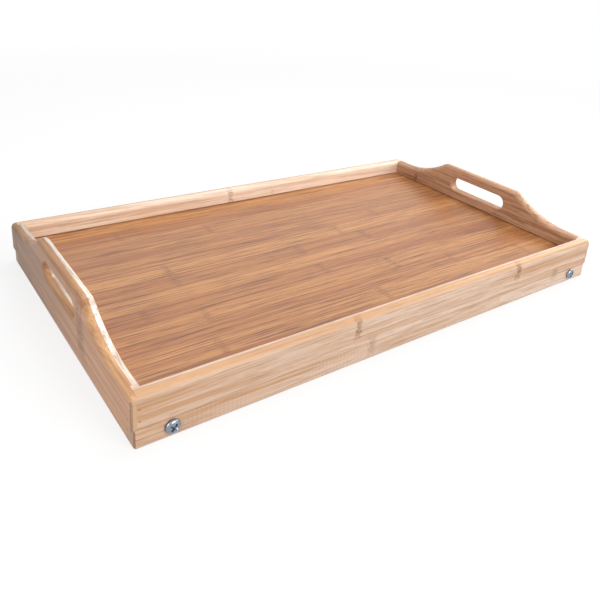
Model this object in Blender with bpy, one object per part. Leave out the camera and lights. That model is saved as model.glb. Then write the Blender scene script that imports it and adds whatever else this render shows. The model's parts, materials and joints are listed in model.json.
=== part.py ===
"""Folding breakfast table: a bamboo bed tray on two leg frames that fold up under it.

The tray is a frame of four boards round a panel. The boards at its two ends rise into
carrying handles. A second, lower frame under it carries the pivot bolts, and each pair of
legs swings on its two bolts between the closed place under the panel and an open place,
where the legs lean outwards against the end strips.

Metres, +Z up. The origin is on the surface the closed tray rests on, under its centre.
"""
import math

import bmesh
import bpy
from mathutils import Matrix

# Clearances that several pieces share
joint_gap = 0.0003
cut_overrun = 0.002

# Upper frame: its outside, the height of its rails and the thickness of its boards
tray_length = 0.500
tray_width = 0.300
upper_height = 0.027
wall = 0.011
end_lap = 0.004
round_over = 0.005
corner_round = 0.002

# Handles: the rise above the rails, its flat crest, the level stretch at each end of the
# board, and the hand slot
handle_rise = 0.022
crest_half = 0.052
crest_radius = 0.012
level_end = 0.026
slot_length = 0.081
slot_height = 0.016
slot_lift = 0.002
slot_round = 0.002

# Panel in its groove, measured up from the underside of the upper frame
panel_thickness = 0.005
panel_lift = 0.0055
groove_depth = 0.0035

# Lower frame
lower_height = 0.015
lower_end_inset = 0.0015
end_round = 0.002
edge_ease = 0.001

# Leg frames: the legs are as wide and as long as the room under the panel allows
pivot_inset = 0.0275
leg_floor_gap = 0.0005
leg_panel_gap = 0.003
leg_thickness = 0.010
feet_gap = 0.029
leg_ease = 0.0015
splay_angle = math.radians(10)
crossbar_width = 0.020
crossbar_thickness = 0.010
crossbar_inset = 0.040

# Pivot bolts, their washers and lock nuts
bolt_diameter = 0.005
bolt_tip = 0.0008
head_diameter = 0.011
head_height = 0.0033
head_edge = 0.0006
recess_width = 0.0066
recess_blade = 0.0014
recess_depth = 0.0020
washer_diameter = 0.010
washer_thickness = 0.001
nut_across_flats = 0.008
nut_height = 0.0038
collar_diameter = 0.0074
collar_height = 0.0012

# Wood screws that hold the crossbars, and brads that pin the frame's corners
screw_diameter = 0.0035
screw_length = 0.030
screw_head_diameter = 0.007
screw_spacing = 0.010
brad_diameter = 0.0012
brad_length = 0.024
low_brad_lift = 0.006
high_brad_lift = 0.015

# Places that follow from the sizes above
half_length = tray_length / 2
half_width = tray_width / 2
well_half_length = half_length - wall
well_half_width = half_width - wall
lower_half_length = half_length - lower_end_inset
upper_bottom = lower_height + joint_gap
rail_top = lower_height + upper_height
handle_top = rail_top + handle_rise
slot_centre = rail_top + slot_lift
sweep_half = half_width - level_end
top_round = min(round_over, wall / 2 - joint_gap)
rail_half_length = half_length - end_lap - joint_gap
panel_bottom = lower_height + panel_lift
panel_top = panel_bottom + panel_thickness
brad_inset = (end_lap + wall - groove_depth) / 2
leg_width = panel_bottom - leg_floor_gap - leg_panel_gap
pivot_height = leg_floor_gap + leg_width / 2
pivot_x = half_length - pivot_inset
leg_reach = pivot_x - feet_gap / 2
leg_outer_y = well_half_width - washer_thickness - 2 * joint_gap
leg_inner_y = leg_outer_y - leg_thickness
# The end strip's inner face stands where the open leg's side meets its lower edge
stop_reach = leg_width / 2 + joint_gap + pivot_height * math.sin(splay_angle)
strip_inner_x = pivot_x + stop_reach / math.cos(splay_angle)
crossbar_x = leg_reach - crossbar_inset
nut_outer_y = leg_inner_y - washer_thickness - 2 * joint_gap
nut_end_y = nut_outer_y - nut_height - collar_height
head_base = joint_gap
bolt_length = head_base + half_width - nut_end_y + bolt_tip
dome_height = head_height - head_edge

# Points closer than this are one, faces flatter than this are one, and edges sharper than
# this stay sharp when a round piece is shaded smooth
same_point = joint_gap / 100
flat_angle = math.radians(0.2)
sharp_angle = math.radians(40)

# Facets of the round shapes
handle_arc_steps = 5
sweep_steps = 12
round_over_steps = 3
ease_steps = 2
dome_steps = 5
slot_steps = 8
slot_round_steps = 3
leg_steps = 12
bolt_steps = 20
small_steps = 8


def clear_scene():
    """Remove whatever the file opened with."""
    for thing in list(bpy.data.objects):
        bpy.data.objects.remove(thing, do_unlink=True)


def make_material(name, colour, roughness, metallic=0.0):
    """A plain finish in the piece's own colour, given as linear red, green and blue."""
    material = bpy.data.materials.new(name)
    material.use_nodes = True
    shader = material.node_tree.nodes["Principled BSDF"]
    shader.inputs["Base Color"].default_value = (*colour, 1.0)
    shader.inputs["Roughness"].default_value = roughness
    shader.inputs["Metallic"].default_value = metallic
    return material


def object_from_bmesh(name, shape):
    """Close the mesh's faces outwards and put it in the scene under this name."""
    bmesh.ops.recalc_face_normals(shape, faces=shape.faces)
    mesh = bpy.data.meshes.new(name)
    shape.to_mesh(mesh)
    shape.free()
    piece = bpy.data.objects.new(name, mesh)
    bpy.context.scene.collection.objects.link(piece)
    return piece


def as_cutter(piece):
    """Mark a shape that only cuts others, so that it isn't a piece of the table."""
    piece.hide_render = True
    piece.display_type = "WIRE"
    return piece


def finish(piece, material, smooth=False):
    """Give a piece its material, and shade it smooth where it is round."""
    piece.data.materials.clear()
    piece.data.materials.append(material)
    if smooth:
        piece.data.shade_smooth()
        piece.data.set_sharp_from_angle(angle=sharp_angle)
    return piece


def boolean(piece, tool, operation="DIFFERENCE"):
    """Cut, join or keep what a piece shares with a tool."""
    modifier = piece.modifiers.new(tool.name, "BOOLEAN")
    modifier.operation = operation
    modifier.solver = "EXACT"
    modifier.object = tool


def settle(piece, last=False):
    """Replace a piece's mesh by the result of its modifiers, with flat areas joined up.

    The last time, the many-sided faces are split into well-shaped triangles.
    """
    scene_now = bpy.context.evaluated_depsgraph_get()
    mesh = bpy.data.meshes.new_from_object(piece.evaluated_get(scene_now))
    shape = bmesh.new()
    shape.from_mesh(mesh)
    bmesh.ops.dissolve_degenerate(shape, dist=same_point, edges=shape.edges)
    bmesh.ops.dissolve_limit(
        shape, angle_limit=flat_angle, verts=shape.verts, edges=shape.edges
    )
    if last:
        many_sided = [face for face in shape.faces if len(face.verts) > 4]
        bmesh.ops.triangulate(shape, faces=many_sided, ngon_method="BEAUTY")
    shape.to_mesh(mesh)
    shape.free()
    piece.modifiers.clear()
    piece.data = mesh
    return piece


def arc(centre, radius, start, end, steps):
    """Points of a circle's arc, from the start angle to the end angle."""
    angles = [start + (end - start) * step / steps for step in range(steps + 1)]
    return [(centre[0] + radius * math.cos(a), centre[1] + radius * math.sin(a)) for a in angles]


def prism(name, outline, low, high, along):
    """An outline drawn square to one axis, and run along that axis from low to high."""
    place = {
        "X": lambda u, v, w: (w, u, v),
        "Y": lambda u, v, w: (u, w, v),
        "Z": lambda u, v, w: (u, v, w),
    }[along]
    shape = bmesh.new()
    rings = [[shape.verts.new(place(u, v, w)) for u, v in outline] for w in (low, high)]
    shape.faces.new(rings[0])
    shape.faces.new(rings[1])
    for index in range(len(outline)):
        before = index - 1
        shape.faces.new((rings[0][before], rings[0][index], rings[1][index], rings[1][before]))
    return object_from_bmesh(name, shape)


def block(name, low, high):
    """A square block between two corners."""
    outline = [(low[0], low[1]), (high[0], low[1]), (high[0], high[1]), (low[0], high[1])]
    return prism(name, outline, low[2], high[2], "Z")


def turned(name, profile, steps, closed=False):
    """A profile of (radius, height) points, spun round the Z axis.

    An open profile starts and ends on the axis, and a closed one goes round a bore.
    """
    shape = bmesh.new()
    points = [shape.verts.new((radius, 0, height)) for radius, height in profile]
    pairs = list(zip(points, points[1:]))
    if closed:
        pairs.append((points[-1], points[0]))
    edges = [shape.edges.new(pair) for pair in pairs]
    bmesh.ops.spin(
        shape, geom=points + edges, cent=(0, 0, 0), axis=(0, 0, 1), angle=2 * math.pi,
        steps=steps, use_merge=True,
    )
    bmesh.ops.remove_doubles(shape, verts=shape.verts, dist=same_point)
    return object_from_bmesh(name, shape)


def ease_edges(piece, width, steps, wanted):
    """Round over the edges that the wanted function picks out by their two ends."""
    shape = bmesh.new()
    shape.from_mesh(piece.data)
    weight = shape.edges.layers.float.new("bevel_weight_edge")
    for edge in shape.edges:
        edge[weight] = wanted(edge.verts[0].co, edge.verts[1].co)
    shape.to_mesh(piece.data)
    shape.free()
    modifier = piece.modifiers.new("eased edges", "BEVEL")
    modifier.limit_method = "WEIGHT"
    modifier.width = width
    modifier.segments = steps
    modifier.use_clamp_overlap = False
    return piece


def move_mesh(piece, matrix):
    """Place a piece by moving its points, and leave its origin where it was."""
    piece.data.transform(matrix)
    return piece


def half_turn_copy(piece, name):
    """The same piece at the other end or side of the tray, turned half round."""
    copy = bpy.data.objects.new(name, piece.data)
    copy.matrix_world = Matrix.Rotation(math.pi, 4, "Z") @ piece.matrix_world
    bpy.context.scene.collection.objects.link(copy)
    return copy


def handle_curve():
    """The handle's top edge from its crest down to the rails, as (Y, Z) on the +Y side.

    A convex arc leaves the flat crest, and a wide hollow arc that touches it runs out
    level with the rails.
    """
    reach = sweep_half - crest_half
    radii_sum = (reach**2 + handle_rise**2) / (2 * handle_rise)
    turn = math.asin(reach / radii_sum)
    sweep_radius = radii_sum - crest_radius
    quarter = math.pi / 2
    shoulder = arc(
        (crest_half, handle_top - crest_radius), crest_radius, quarter, quarter - turn,
        handle_arc_steps,
    )
    sweep = arc(
        (sweep_half, rail_top + sweep_radius), sweep_radius, 3 * quarter - turn, 3 * quarter,
        sweep_steps,
    )
    return shoulder + sweep[1:]


def stadium(centre, length, height, steps):
    """A slot's outline with round ends."""
    radius = height / 2
    offset = length / 2 - radius
    quarter = math.pi / 2
    right = arc((centre[0] + offset, centre[1]), radius, -quarter, quarter, steps)
    left = arc((centre[0] - offset, centre[1]), radius, quarter, 3 * quarter, steps)
    return right + left


def edge_roundings(first, second):
    """How much of the large round-over each edge of the upper frame gets."""
    near = joint_gap
    level = abs(first.z - second.z) < near
    same_x = abs(first.x - second.x) < near
    same_y = abs(first.y - second.y) < near
    if min(first.z, second.z) > rail_top - near:
        along_rail = same_y and abs(first.y) > well_half_width - near
        return 1 if same_x or along_rail else 0
    if same_x and abs(first.x) > half_length - near:
        if same_y:
            return corner_round / top_round
        if level:
            return edge_ease / top_round
    return 0


def hand_slot(name):
    """A cutter for the hand slots at both ends, flared so that their edges come out round."""
    bend = [math.pi / 2 * step / slot_round_steps for step in range(slot_round_steps + 1)]
    flare = [(slot_round * (1 - math.cos(a)), slot_round * (1 - math.sin(a))) for a in bend]
    board = [(-half_length + depth, spread) for depth, spread in flare]
    board += [(-well_half_length - depth, spread) for depth, spread in reversed(flare)]
    stations = [(-half_length - cut_overrun, slot_round)] + board
    stations += [(-x, spread) for x, spread in reversed(stations)]
    shape = bmesh.new()
    rings = []
    for x, spread in stations:
        outline = stadium(
            (0, slot_centre), slot_length + 2 * spread, slot_height + 2 * spread, slot_steps
        )
        rings.append([shape.verts.new((x, y, z)) for y, z in outline])
    for ring, following in zip(rings, rings[1:]):
        for index in range(len(ring)):
            before = index - 1
            shape.faces.new((ring[before], ring[index], following[index], following[before]))
    shape.faces.new(rings[0])
    shape.faces.new(rings[-1])
    return object_from_bmesh(name, shape)


def upper_frame_ring():
    """The four upper boards as one rounded ring, before it is parted at the corners."""
    high = handle_top + cut_overrun
    side = half_width + cut_overrun
    ring = block(
        "upper_frame", (-half_length, -half_width, upper_bottom), (half_length, half_width, high)
    )
    curve = handle_curve()
    above = high + cut_overrun
    mirrored = [(-y, z) for y, z in reversed(curve)]
    outline = [(side, rail_top), (side, above), (-side, above), (-side, rail_top)]
    over_handles = prism(
        "over_handles", mirrored + curve + outline, -half_length - cut_overrun,
        half_length + cut_overrun, "X",
    )
    low = upper_bottom - cut_overrun
    well_outline = [
        (-well_half_width, low), (well_half_width, low), (well_half_width, rail_top),
        (side, rail_top), (side, above), (-side, above), (-side, rail_top),
        (-well_half_width, rail_top),
    ]
    well = prism("well_and_over_rails", well_outline, -well_half_length, well_half_length, "X")
    for tool in (over_handles, well):
        boolean(ring, as_cutter(tool))
    settle(ring)
    ease_edges(ring, top_round, round_over_steps, edge_roundings)
    groove = block(
        "panel_groove",
        (-well_half_length - groove_depth, -well_half_width - groove_depth,
         panel_bottom - joint_gap),
        (well_half_length + groove_depth, well_half_width + groove_depth,
         panel_top + joint_gap),
    )
    for tool in (groove, hand_slot("hand_slots")):
        boolean(ring, as_cutter(tool))
    settle(ring)
    return as_cutter(ring)


def part_of(ring, name, region):
    """The share of the ring that lies in one board's region."""
    piece = bpy.data.objects.new(name, ring.data.copy())
    bpy.context.scene.collection.objects.link(piece)
    boolean(piece, as_cutter(region), "INTERSECT")
    return settle(piece)


def upper_frame(bamboo):
    """Handle boards lapped over the ends of the upper rails, and those rails."""
    ring = upper_frame_ring()
    low = upper_bottom - cut_overrun
    high = handle_top + cut_overrun
    outside = half_length + cut_overrun
    side = half_width + cut_overrun
    shoulder_x = half_length - end_lap
    inside = well_half_length - cut_overrun
    tongue_y = well_half_width - joint_gap
    board_plan = [
        (-outside, -side), (-shoulder_x, -side), (-shoulder_x, -tongue_y), (-inside, -tongue_y),
        (-inside, tongue_y), (-shoulder_x, tongue_y), (-shoulder_x, side), (-outside, side),
    ]
    board_region = prism("left_board_region", board_plan, low, high, "Z")
    left_board = part_of(ring, "left_handle_board", board_region)
    rail_region = block(
        "back_rail_region", (-rail_half_length, well_half_width, low),
        (rail_half_length, side, high),
    )
    back_rail = part_of(ring, "back_upper_rail", rail_region)
    brad_holes(left_board, back_rail)
    finish(left_board, bamboo, smooth=True)
    finish(back_rail, bamboo, smooth=True)
    half_turn_copy(left_board, "right_handle_board")
    half_turn_copy(back_rail, "front_upper_rail")


def brad_places():
    """Where the brads enter the frame's long faces."""
    x = half_length - brad_inset
    heights = (upper_bottom + low_brad_lift, upper_bottom + high_brad_lift)
    return [(side_x * x, z) for side_x in (-1, 1) for z in heights]


def brad_shape(name, diameter, length, centre_x, face_y, z):
    """A headless nail along Y, driven inwards from a long face on the +Y side."""
    radius = diameter / 2
    profile = [(0, 0), (radius, 0), (radius, -length), (0, -length)]
    nail = turned(name, profile, small_steps)
    inwards = Matrix.Rotation(-math.pi / 2, 4, "X")
    return move_mesh(nail, Matrix.Translation((centre_x, face_y, z)) @ inwards)


def brad_holes(left_board, back_rail):
    """Drill the rail and the board's tongue for the brads, on both long sides."""
    diameter = brad_diameter + 2 * joint_gap
    for index, (x, z) in enumerate(brad_places()):
        depth = brad_length + joint_gap + cut_overrun
        hole = brad_shape(f"brad_hole_{index}", diameter, depth, x, half_width + cut_overrun, z)
        boolean(back_rail, as_cutter(hole))
        if x < 0:
            boolean(left_board, hole)
            other = brad_shape(
                f"front_brad_hole_{index}", diameter, depth, -x, half_width + cut_overrun, z
            )
            move_mesh(other, Matrix.Rotation(math.pi, 4, "Z"))
            boolean(left_board, as_cutter(other))
    settle(left_board, last=True)
    settle(back_rail, last=True)


def corner_brads(steel):
    """The brads that pin the handle boards to the rails, two at each corner."""
    nail = brad_shape("brad", brad_diameter, brad_length, 0, 0, 0)
    finish(nail, steel, smooth=True)
    for y_name, turn in (("back", 0), ("front", math.pi)):
        for x, z in brad_places():
            x_name = "left" if (x < 0) == (y_name == "back") else "right"
            level = "low" if z < upper_bottom + high_brad_lift else "high"
            copy = bpy.data.objects.new(f"{x_name}_{y_name}_{level}_brad", nail.data)
            place = Matrix.Translation((x, half_width - joint_gap, z))
            copy.matrix_world = Matrix.Rotation(turn, 4, "Z") @ place
            bpy.context.scene.collection.objects.link(copy)
    bpy.data.objects.remove(nail, do_unlink=True)


def tray_panel(bamboo):
    """The panel that floats in the groove of the upper frame."""
    reach = groove_depth - joint_gap
    x = well_half_length + reach
    y = well_half_width + reach
    finish(block("tray_panel", (-x, -y, panel_bottom), (x, y, panel_top)), bamboo)


def lower_rail_edges(first, second):
    """Round the rail's lower ends most, its outer lower edge least."""
    near = joint_gap
    at_end = min(abs(first.x), abs(second.x)) > lower_half_length - near
    at_foot = max(first.z, second.z) < near
    at_face = min(first.y, second.y) > half_width - near
    if at_end and at_foot:
        return 1
    if at_end and at_face:
        return corner_round / end_round
    if at_foot and at_face:
        return edge_ease / end_round
    return 0


def strip_edges(first, second):
    """Round the strip's outer lower edge, in line with the rails' ends."""
    near = joint_gap
    outside = max(first.x, second.x) < near - lower_half_length
    at_foot = max(first.z, second.z) < near
    return 1 if outside and at_foot else 0


def lower_frame(bamboo):
    """The lower rails, which carry the pivot bolts, and the end strips between them."""
    rail = block(
        "back_lower_rail", (-lower_half_length, well_half_width, 0),
        (lower_half_length, half_width, lower_height),
    )
    ease_edges(rail, end_round, round_over_steps, lower_rail_edges)
    for side_x in (-1, 1):
        hole = bolt_hole(f"rail_bolt_hole_{side_x}", side_x * pivot_x, well_half_width, half_width)
        boolean(rail, hole)
    settle(rail, last=True)
    strip_y = well_half_width - joint_gap
    strip = block(
        "left_end_strip", (-lower_half_length, -strip_y, 0),
        (-strip_inner_x, strip_y, lower_height),
    )
    ease_edges(strip, end_round, round_over_steps, strip_edges)
    settle(strip, last=True)
    finish(rail, bamboo, smooth=True)
    finish(strip, bamboo, smooth=True)
    half_turn_copy(rail, "front_lower_rail")
    half_turn_copy(strip, "right_end_strip")


def bolt_hole(name, x, near_y, far_y):
    """A cutter for a pivot bolt's hole along Y, through what lies between two faces."""
    radius = bolt_diameter / 2 + joint_gap
    low = near_y - cut_overrun
    high = far_y + cut_overrun
    hole = turned(name, [(0, high), (radius, high), (radius, low), (0, low)], bolt_steps)
    sideways = Matrix.Rotation(-math.pi / 2, 4, "X")
    return as_cutter(move_mesh(hole, Matrix.Translation((x, 0, pivot_height)) @ sideways))


def bolt_mesh():
    """A pan-head bolt along Z: the head stands on the rail's face, at zero."""
    radius = bolt_diameter / 2
    head_radius = head_diameter / 2
    dome = [
        (head_radius * math.cos(angle), head_base + head_edge + dome_height * math.sin(angle))
        for angle in (math.pi / 2 * step / dome_steps for step in range(dome_steps, -1, -1))
    ]
    dome[0] = (0, head_base + head_height)
    tip = head_base - bolt_length
    chamfer = radius / 3
    profile = dome + [
        (head_radius, head_base), (radius, head_base), (radius, tip + chamfer),
        (radius - chamfer, tip), (0, tip),
    ]
    bolt = turned("bolt", profile, bolt_steps)
    floor_z = head_base + head_height - recess_depth
    roof_z = head_base + head_height + cut_overrun
    for long_x, long_y in ((recess_width, recess_blade), (recess_blade, recess_width)):
        bar = block(
            "recess", (-long_x / 2, -long_y / 2, floor_z), (long_x / 2, long_y / 2, roof_z)
        )
        boolean(bolt, as_cutter(bar))
    return settle(bolt, last=True)


def washer_mesh():
    """A flat ring, whose outer face lies at zero."""
    inner = bolt_diameter / 2 + joint_gap
    outer = washer_diameter / 2
    ring = [(outer, 0), (outer, -washer_thickness), (inner, -washer_thickness), (inner, 0)]
    return turned("washer", ring, bolt_steps, closed=True)


def nut_mesh():
    """A six-sided lock nut with a collar on its inner end, and its outer face at zero."""
    corner = nut_across_flats / 2 / math.cos(math.pi / 6)
    nut = prism("nut", arc((0, 0), corner, 0, math.pi * 5 / 3, 5), -nut_height, 0, "Z")
    radius = collar_diameter / 2
    end = -nut_height - collar_height
    middle = -nut_height / 2
    collar = turned("collar", [(0, middle), (radius, middle), (radius, end), (0, end)], bolt_steps)
    boolean(nut, as_cutter(collar), "UNION")
    inner = bolt_diameter / 2 + joint_gap
    high = cut_overrun
    low = end - cut_overrun
    bore = turned("bore", [(0, high), (inner, high), (inner, low), (0, low)], bolt_steps)
    boolean(nut, as_cutter(bore))
    return settle(nut, last=True)


def pivot_hardware(steel):
    """At each pivot: bolt, spacer washer, inner washer and lock nut, from outside inwards."""
    kinds = (
        ("pivot_bolt", bolt_mesh(), half_width),
        ("spacer_washer", washer_mesh(), well_half_width - joint_gap),
        ("inner_washer", washer_mesh(), leg_inner_y - joint_gap),
        ("lock_nut", nut_mesh(), nut_outer_y),
    )
    for kind, shape, distance in kinds:
        finish(shape, steel, smooth=True)
        for x_name, side_x in (("left", -1), ("right", 1)):
            for y_name, side_y in (("front", -1), ("back", 1)):
                copy = bpy.data.objects.new(f"{x_name}_{y_name}_{kind}", shape.data)
                copy.location = (side_x * pivot_x, side_y * distance, pivot_height)
                copy.rotation_euler = (-side_y * math.pi / 2, 0, 0)
                bpy.context.scene.collection.objects.link(copy)
        bpy.data.objects.remove(shape, do_unlink=True)


def leg_outline():
    """A leg along +X from its pivot at zero: round above, and cut to stand on the floor."""
    half = leg_width / 2
    foot_drop = leg_reach * math.cos(splay_angle) - half * math.sin(splay_angle)
    far_edge = (foot_drop - half * math.sin(splay_angle)) / math.cos(splay_angle)
    crown = arc((0, 0), half, math.pi / 2, math.pi * 3 / 2, leg_steps)
    return crown + [(leg_reach, -half), (far_edge, half)]


def leg_edges(first, second):
    """Ease the edges round both of the leg's faces."""
    return 1 if abs(first.y - second.y) < joint_gap else 0


def screw_places():
    """The crossbar's screws, as X from the leg's pivot."""
    return [crossbar_x + side * screw_spacing / 2 for side in (-1, 1)]


def screw_shape(name, allowance, outer_y):
    """A countersunk wood screw along Y, its head level with a face on the +Y side."""
    radius = screw_diameter / 2 + allowance
    head = screw_head_diameter / 2 + allowance
    top = cut_overrun if allowance else -joint_gap
    cone = screw_head_diameter / 2 - screw_diameter / 2
    tip = -screw_length - allowance
    profile = [
        (0, top), (head, top), (head, -joint_gap), (radius, -joint_gap - cone),
        (radius, tip + cone), (0, tip),
    ]
    if not allowance:
        profile.remove((head, -joint_gap))
    screw = turned(name, profile, small_steps)
    return move_mesh(
        screw, Matrix.Translation((0, outer_y, 0)) @ Matrix.Rotation(-math.pi / 2, 4, "X")
    )


def crossbar_screws(y_name, other_name, allowance=0):
    """The screws through one leg, or cutters for their holes, each with its name at the right."""
    turn = 0 if y_name == "back" else math.pi
    use = "hole_for_" if allowance else ""
    screws = []
    for number, x in enumerate(screw_places(), start=1):
        name = f"{use}left_{y_name}_screw_{number}"
        screw = screw_shape(name, allowance, leg_outer_y)
        place = Matrix.Translation((x, 0, 0)) @ Matrix.Rotation(turn, 4, "Z")
        screws.append((move_mesh(screw, place), f"right_{other_name}_screw_{number}"))
    return screws


def leg_frames(bamboo, steel):
    """Two legs and a crossbar at each end of the tray, each set hung on its pivot."""
    sides = (("front", "back", -1), ("back", "front", 1))
    holes = []
    for y_name, other_name, _ in sides:
        cutters = crossbar_screws(y_name, other_name, joint_gap)
        holes += [as_cutter(cutter) for cutter, _ in cutters]
    pieces = []
    for y_name, other_name, side in sides:
        low, high = sorted((side * leg_inner_y, side * leg_outer_y))
        leg = prism(f"left_{y_name}_leg", leg_outline(), low, high, "Y")
        ease_edges(leg, leg_ease, ease_steps, leg_edges)
        pivot_hole = bolt_hole(f"{y_name}_leg_hole", 0, low, high)
        move_mesh(pivot_hole, Matrix.Translation((0, 0, -pivot_height)))
        boolean(leg, pivot_hole)
        for hole in holes:
            boolean(leg, hole)
        finish(settle(leg, last=True), bamboo, smooth=True)
        pieces.append((leg, f"right_{other_name}_leg"))
        for screw, right_name in crossbar_screws(y_name, other_name):
            pieces.append((finish(screw, steel, smooth=True), right_name))
    bar_y = leg_inner_y - joint_gap
    bar = block(
        "left_crossbar", (crossbar_x - crossbar_width / 2, -bar_y, -crossbar_thickness / 2),
        (crossbar_x + crossbar_width / 2, bar_y, crossbar_thickness / 2),
    )
    ease_edges(bar, edge_ease, ease_steps, lambda a, b: 1 if abs(a.y - b.y) > bar_y else 0)
    for hole in holes:
        boolean(bar, hole)
    pieces.append((finish(settle(bar, last=True), bamboo, smooth=True), "right_crossbar"))
    for name, side_x, turn in (("left", -1, 0), ("right", 1, math.pi)):
        pivot = bpy.data.objects.new(f"{name}_leg_pivot", None)
        pivot.location = (side_x * pivot_x, 0, pivot_height)
        pivot.rotation_euler = (0, 0, turn)
        bpy.context.scene.collection.objects.link(pivot)
        for piece, right_name in pieces:
            member = piece
            if side_x > 0:
                member = bpy.data.objects.new(right_name, piece.data)
                bpy.context.scene.collection.objects.link(member)
            member.parent = pivot


def main():
    clear_scene()
    bamboo = make_material("natural_bamboo", (0.62, 0.40, 0.21), 0.42)
    dark_bamboo = make_material("carbonised_bamboo", (0.42, 0.20, 0.08), 0.35)
    steel = make_material("zinc_plated_steel", (0.55, 0.58, 0.62), 0.30, 1.0)
    upper_frame(bamboo)
    corner_brads(steel)
    tray_panel(dark_bamboo)
    lower_frame(bamboo)
    pivot_hardware(steel)
    leg_frames(bamboo, steel)


main()
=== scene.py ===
# %% [markdown]
# A folding breakfast table in bamboo
#
# The table is a bed tray: four boards of laminated bamboo round a darker bamboo panel, with
# the two end boards raised into handles. A second, lower frame carries four bolts, and two
# pairs of legs fold up between its rails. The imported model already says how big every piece
# is and where it sits, so this script only makes the looks. It first loads that model and
# measures it, and every later size comes from these measures or from a value named where it
# is first needed. All lengths are in metres.

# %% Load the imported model
import json
import math

import bmesh
import bpy
from mathutils import Matrix, Vector


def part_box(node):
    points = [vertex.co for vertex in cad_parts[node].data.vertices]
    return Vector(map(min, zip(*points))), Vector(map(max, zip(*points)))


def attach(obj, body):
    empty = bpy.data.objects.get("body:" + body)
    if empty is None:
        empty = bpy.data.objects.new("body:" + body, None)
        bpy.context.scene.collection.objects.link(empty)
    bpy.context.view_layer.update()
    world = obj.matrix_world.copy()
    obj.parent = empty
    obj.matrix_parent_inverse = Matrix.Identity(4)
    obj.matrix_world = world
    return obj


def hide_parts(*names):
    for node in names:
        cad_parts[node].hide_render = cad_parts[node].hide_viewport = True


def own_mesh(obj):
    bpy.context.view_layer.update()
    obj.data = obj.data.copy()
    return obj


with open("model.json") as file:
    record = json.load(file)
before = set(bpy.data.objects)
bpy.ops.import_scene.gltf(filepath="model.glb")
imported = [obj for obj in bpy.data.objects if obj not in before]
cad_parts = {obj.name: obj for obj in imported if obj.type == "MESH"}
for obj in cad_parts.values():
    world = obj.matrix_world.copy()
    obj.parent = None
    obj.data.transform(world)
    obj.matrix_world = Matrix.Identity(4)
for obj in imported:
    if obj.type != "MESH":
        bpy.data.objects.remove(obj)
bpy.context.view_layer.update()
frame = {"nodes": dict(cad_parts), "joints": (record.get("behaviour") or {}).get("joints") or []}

# %% [markdown]
# Measures
#
# A node's box gives its lowest and highest corner. The left handle board tells how long,
# wide and thick the tray is, and the back rail tells where the rim's top lies.

# %% Measure the boards
board_low, board_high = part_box("left_handle_board")
rail_low, rail_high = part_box("back_upper_rail")
half_length = -board_low.x
half_width = board_high.y
wall = board_high.x - board_low.x
well_half_length = half_length - wall
well_half_width = rail_low.y
upper_bottom = board_low.z
rail_top = rail_high.z
handle_top = board_high.z
joint_gap = 0.0003
hairline = 0.00003
print("half length", round(half_length, 4), "half width", half_width, "wall", round(wall, 4))

# %% [markdown]
# The camera
#
# The photograph was taken from the left front and from above, with a fairly wide lens, and
# the camera was held a little crooked. A camera in Blender looks along its own -Z axis, so
# its turn is put together from the direction that it looks in and the roll about it. The
# lens is written as the photograph's focal length in pixels, turned into millimetres for
# Blender's 36 mm sensor. The tray sits low in what the lens saw, as in a picture that was
# cropped afterwards, and a shifted lens does the same without turning the camera.

# %% Place the camera
image_width, focal_pixels = 600, 654.2
camera_place = Vector((-0.3681, -0.4734, 0.3087))
camera_azimuth = math.radians(38.47)
camera_pitch = math.radians(20.69)
camera_roll = math.radians(4.84)
lens_shift = (-0.0430, -0.1763)

level = math.cos(camera_pitch)
forward = Vector((
    math.sin(camera_azimuth) * level, math.cos(camera_azimuth) * level, -math.sin(camera_pitch)
))
level_right = forward.cross(Vector((0, 0, 1))).normalized()
level_up = level_right.cross(forward)
right = level_right * math.cos(camera_roll) + level_up * math.sin(camera_roll)
up = right.cross(forward)
lens = bpy.data.cameras.new("camera")
lens.sensor_width = 36
lens.lens = focal_pixels * lens.sensor_width / image_width
lens.shift_x, lens.shift_y = lens_shift
camera = bpy.data.objects.new("camera", lens)
turn = Matrix((right, up, -forward)).transposed().to_4x4()
camera.matrix_world = Matrix.Translation(camera_place) @ turn
bpy.context.scene.collection.objects.link(camera)
bpy.context.scene.camera = camera
bpy.context.scene.view_settings.view_transform = "Standard"
print("lens", round(lens.lens, 2), "mm")

# %% [markdown]
# Colours and nodes
#
# A hex colour is written for the screen, in sRGB, and shaders work in linear light, so one
# function turns the first into the second. Another adds a node to a tree: it sets the
# node's own settings, and puts a value or a link into each socket that is named. With these
# two, a material reads as a list of what goes into what. One more makes an object of a mesh
# or a lamp, because a new one isn't in any scene yet.

# %% Small helpers
def linear(hex_colour):
    """An sRGB colour such as "d9a873" as linear red, green, blue and full opacity."""
    screen = [int(hex_colour[start:start + 2], 16) / 255 for start in (0, 2, 4)]
    light = [s / 12.92 if s <= 0.04045 else ((s + 0.055) / 1.055) ** 2.4 for s in screen]
    return (*light, 1.0)


def linked(name, data):
    """A new object for a mesh or a lamp, linked to the scene."""
    piece = bpy.data.objects.new(name, data)
    bpy.context.scene.collection.objects.link(piece)
    return piece


def plug(tree, node, sockets):
    """Put a value or a link into each input socket that is named."""
    for name, value in sockets.items():
        if isinstance(value, bpy.types.NodeSocket):
            tree.links.new(value, node.inputs[name])
        else:
            node.inputs[name].default_value = value


def add(tree, kind, sockets=None, **settings):
    """Add a node, with its settings, and with values or links for its input sockets."""
    node = tree.nodes.new(kind)
    for name, value in settings.items():
        setattr(node, name, value)
    plug(tree, node, sockets or {})
    return node


print("white is", linear("ffffff"))

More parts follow.
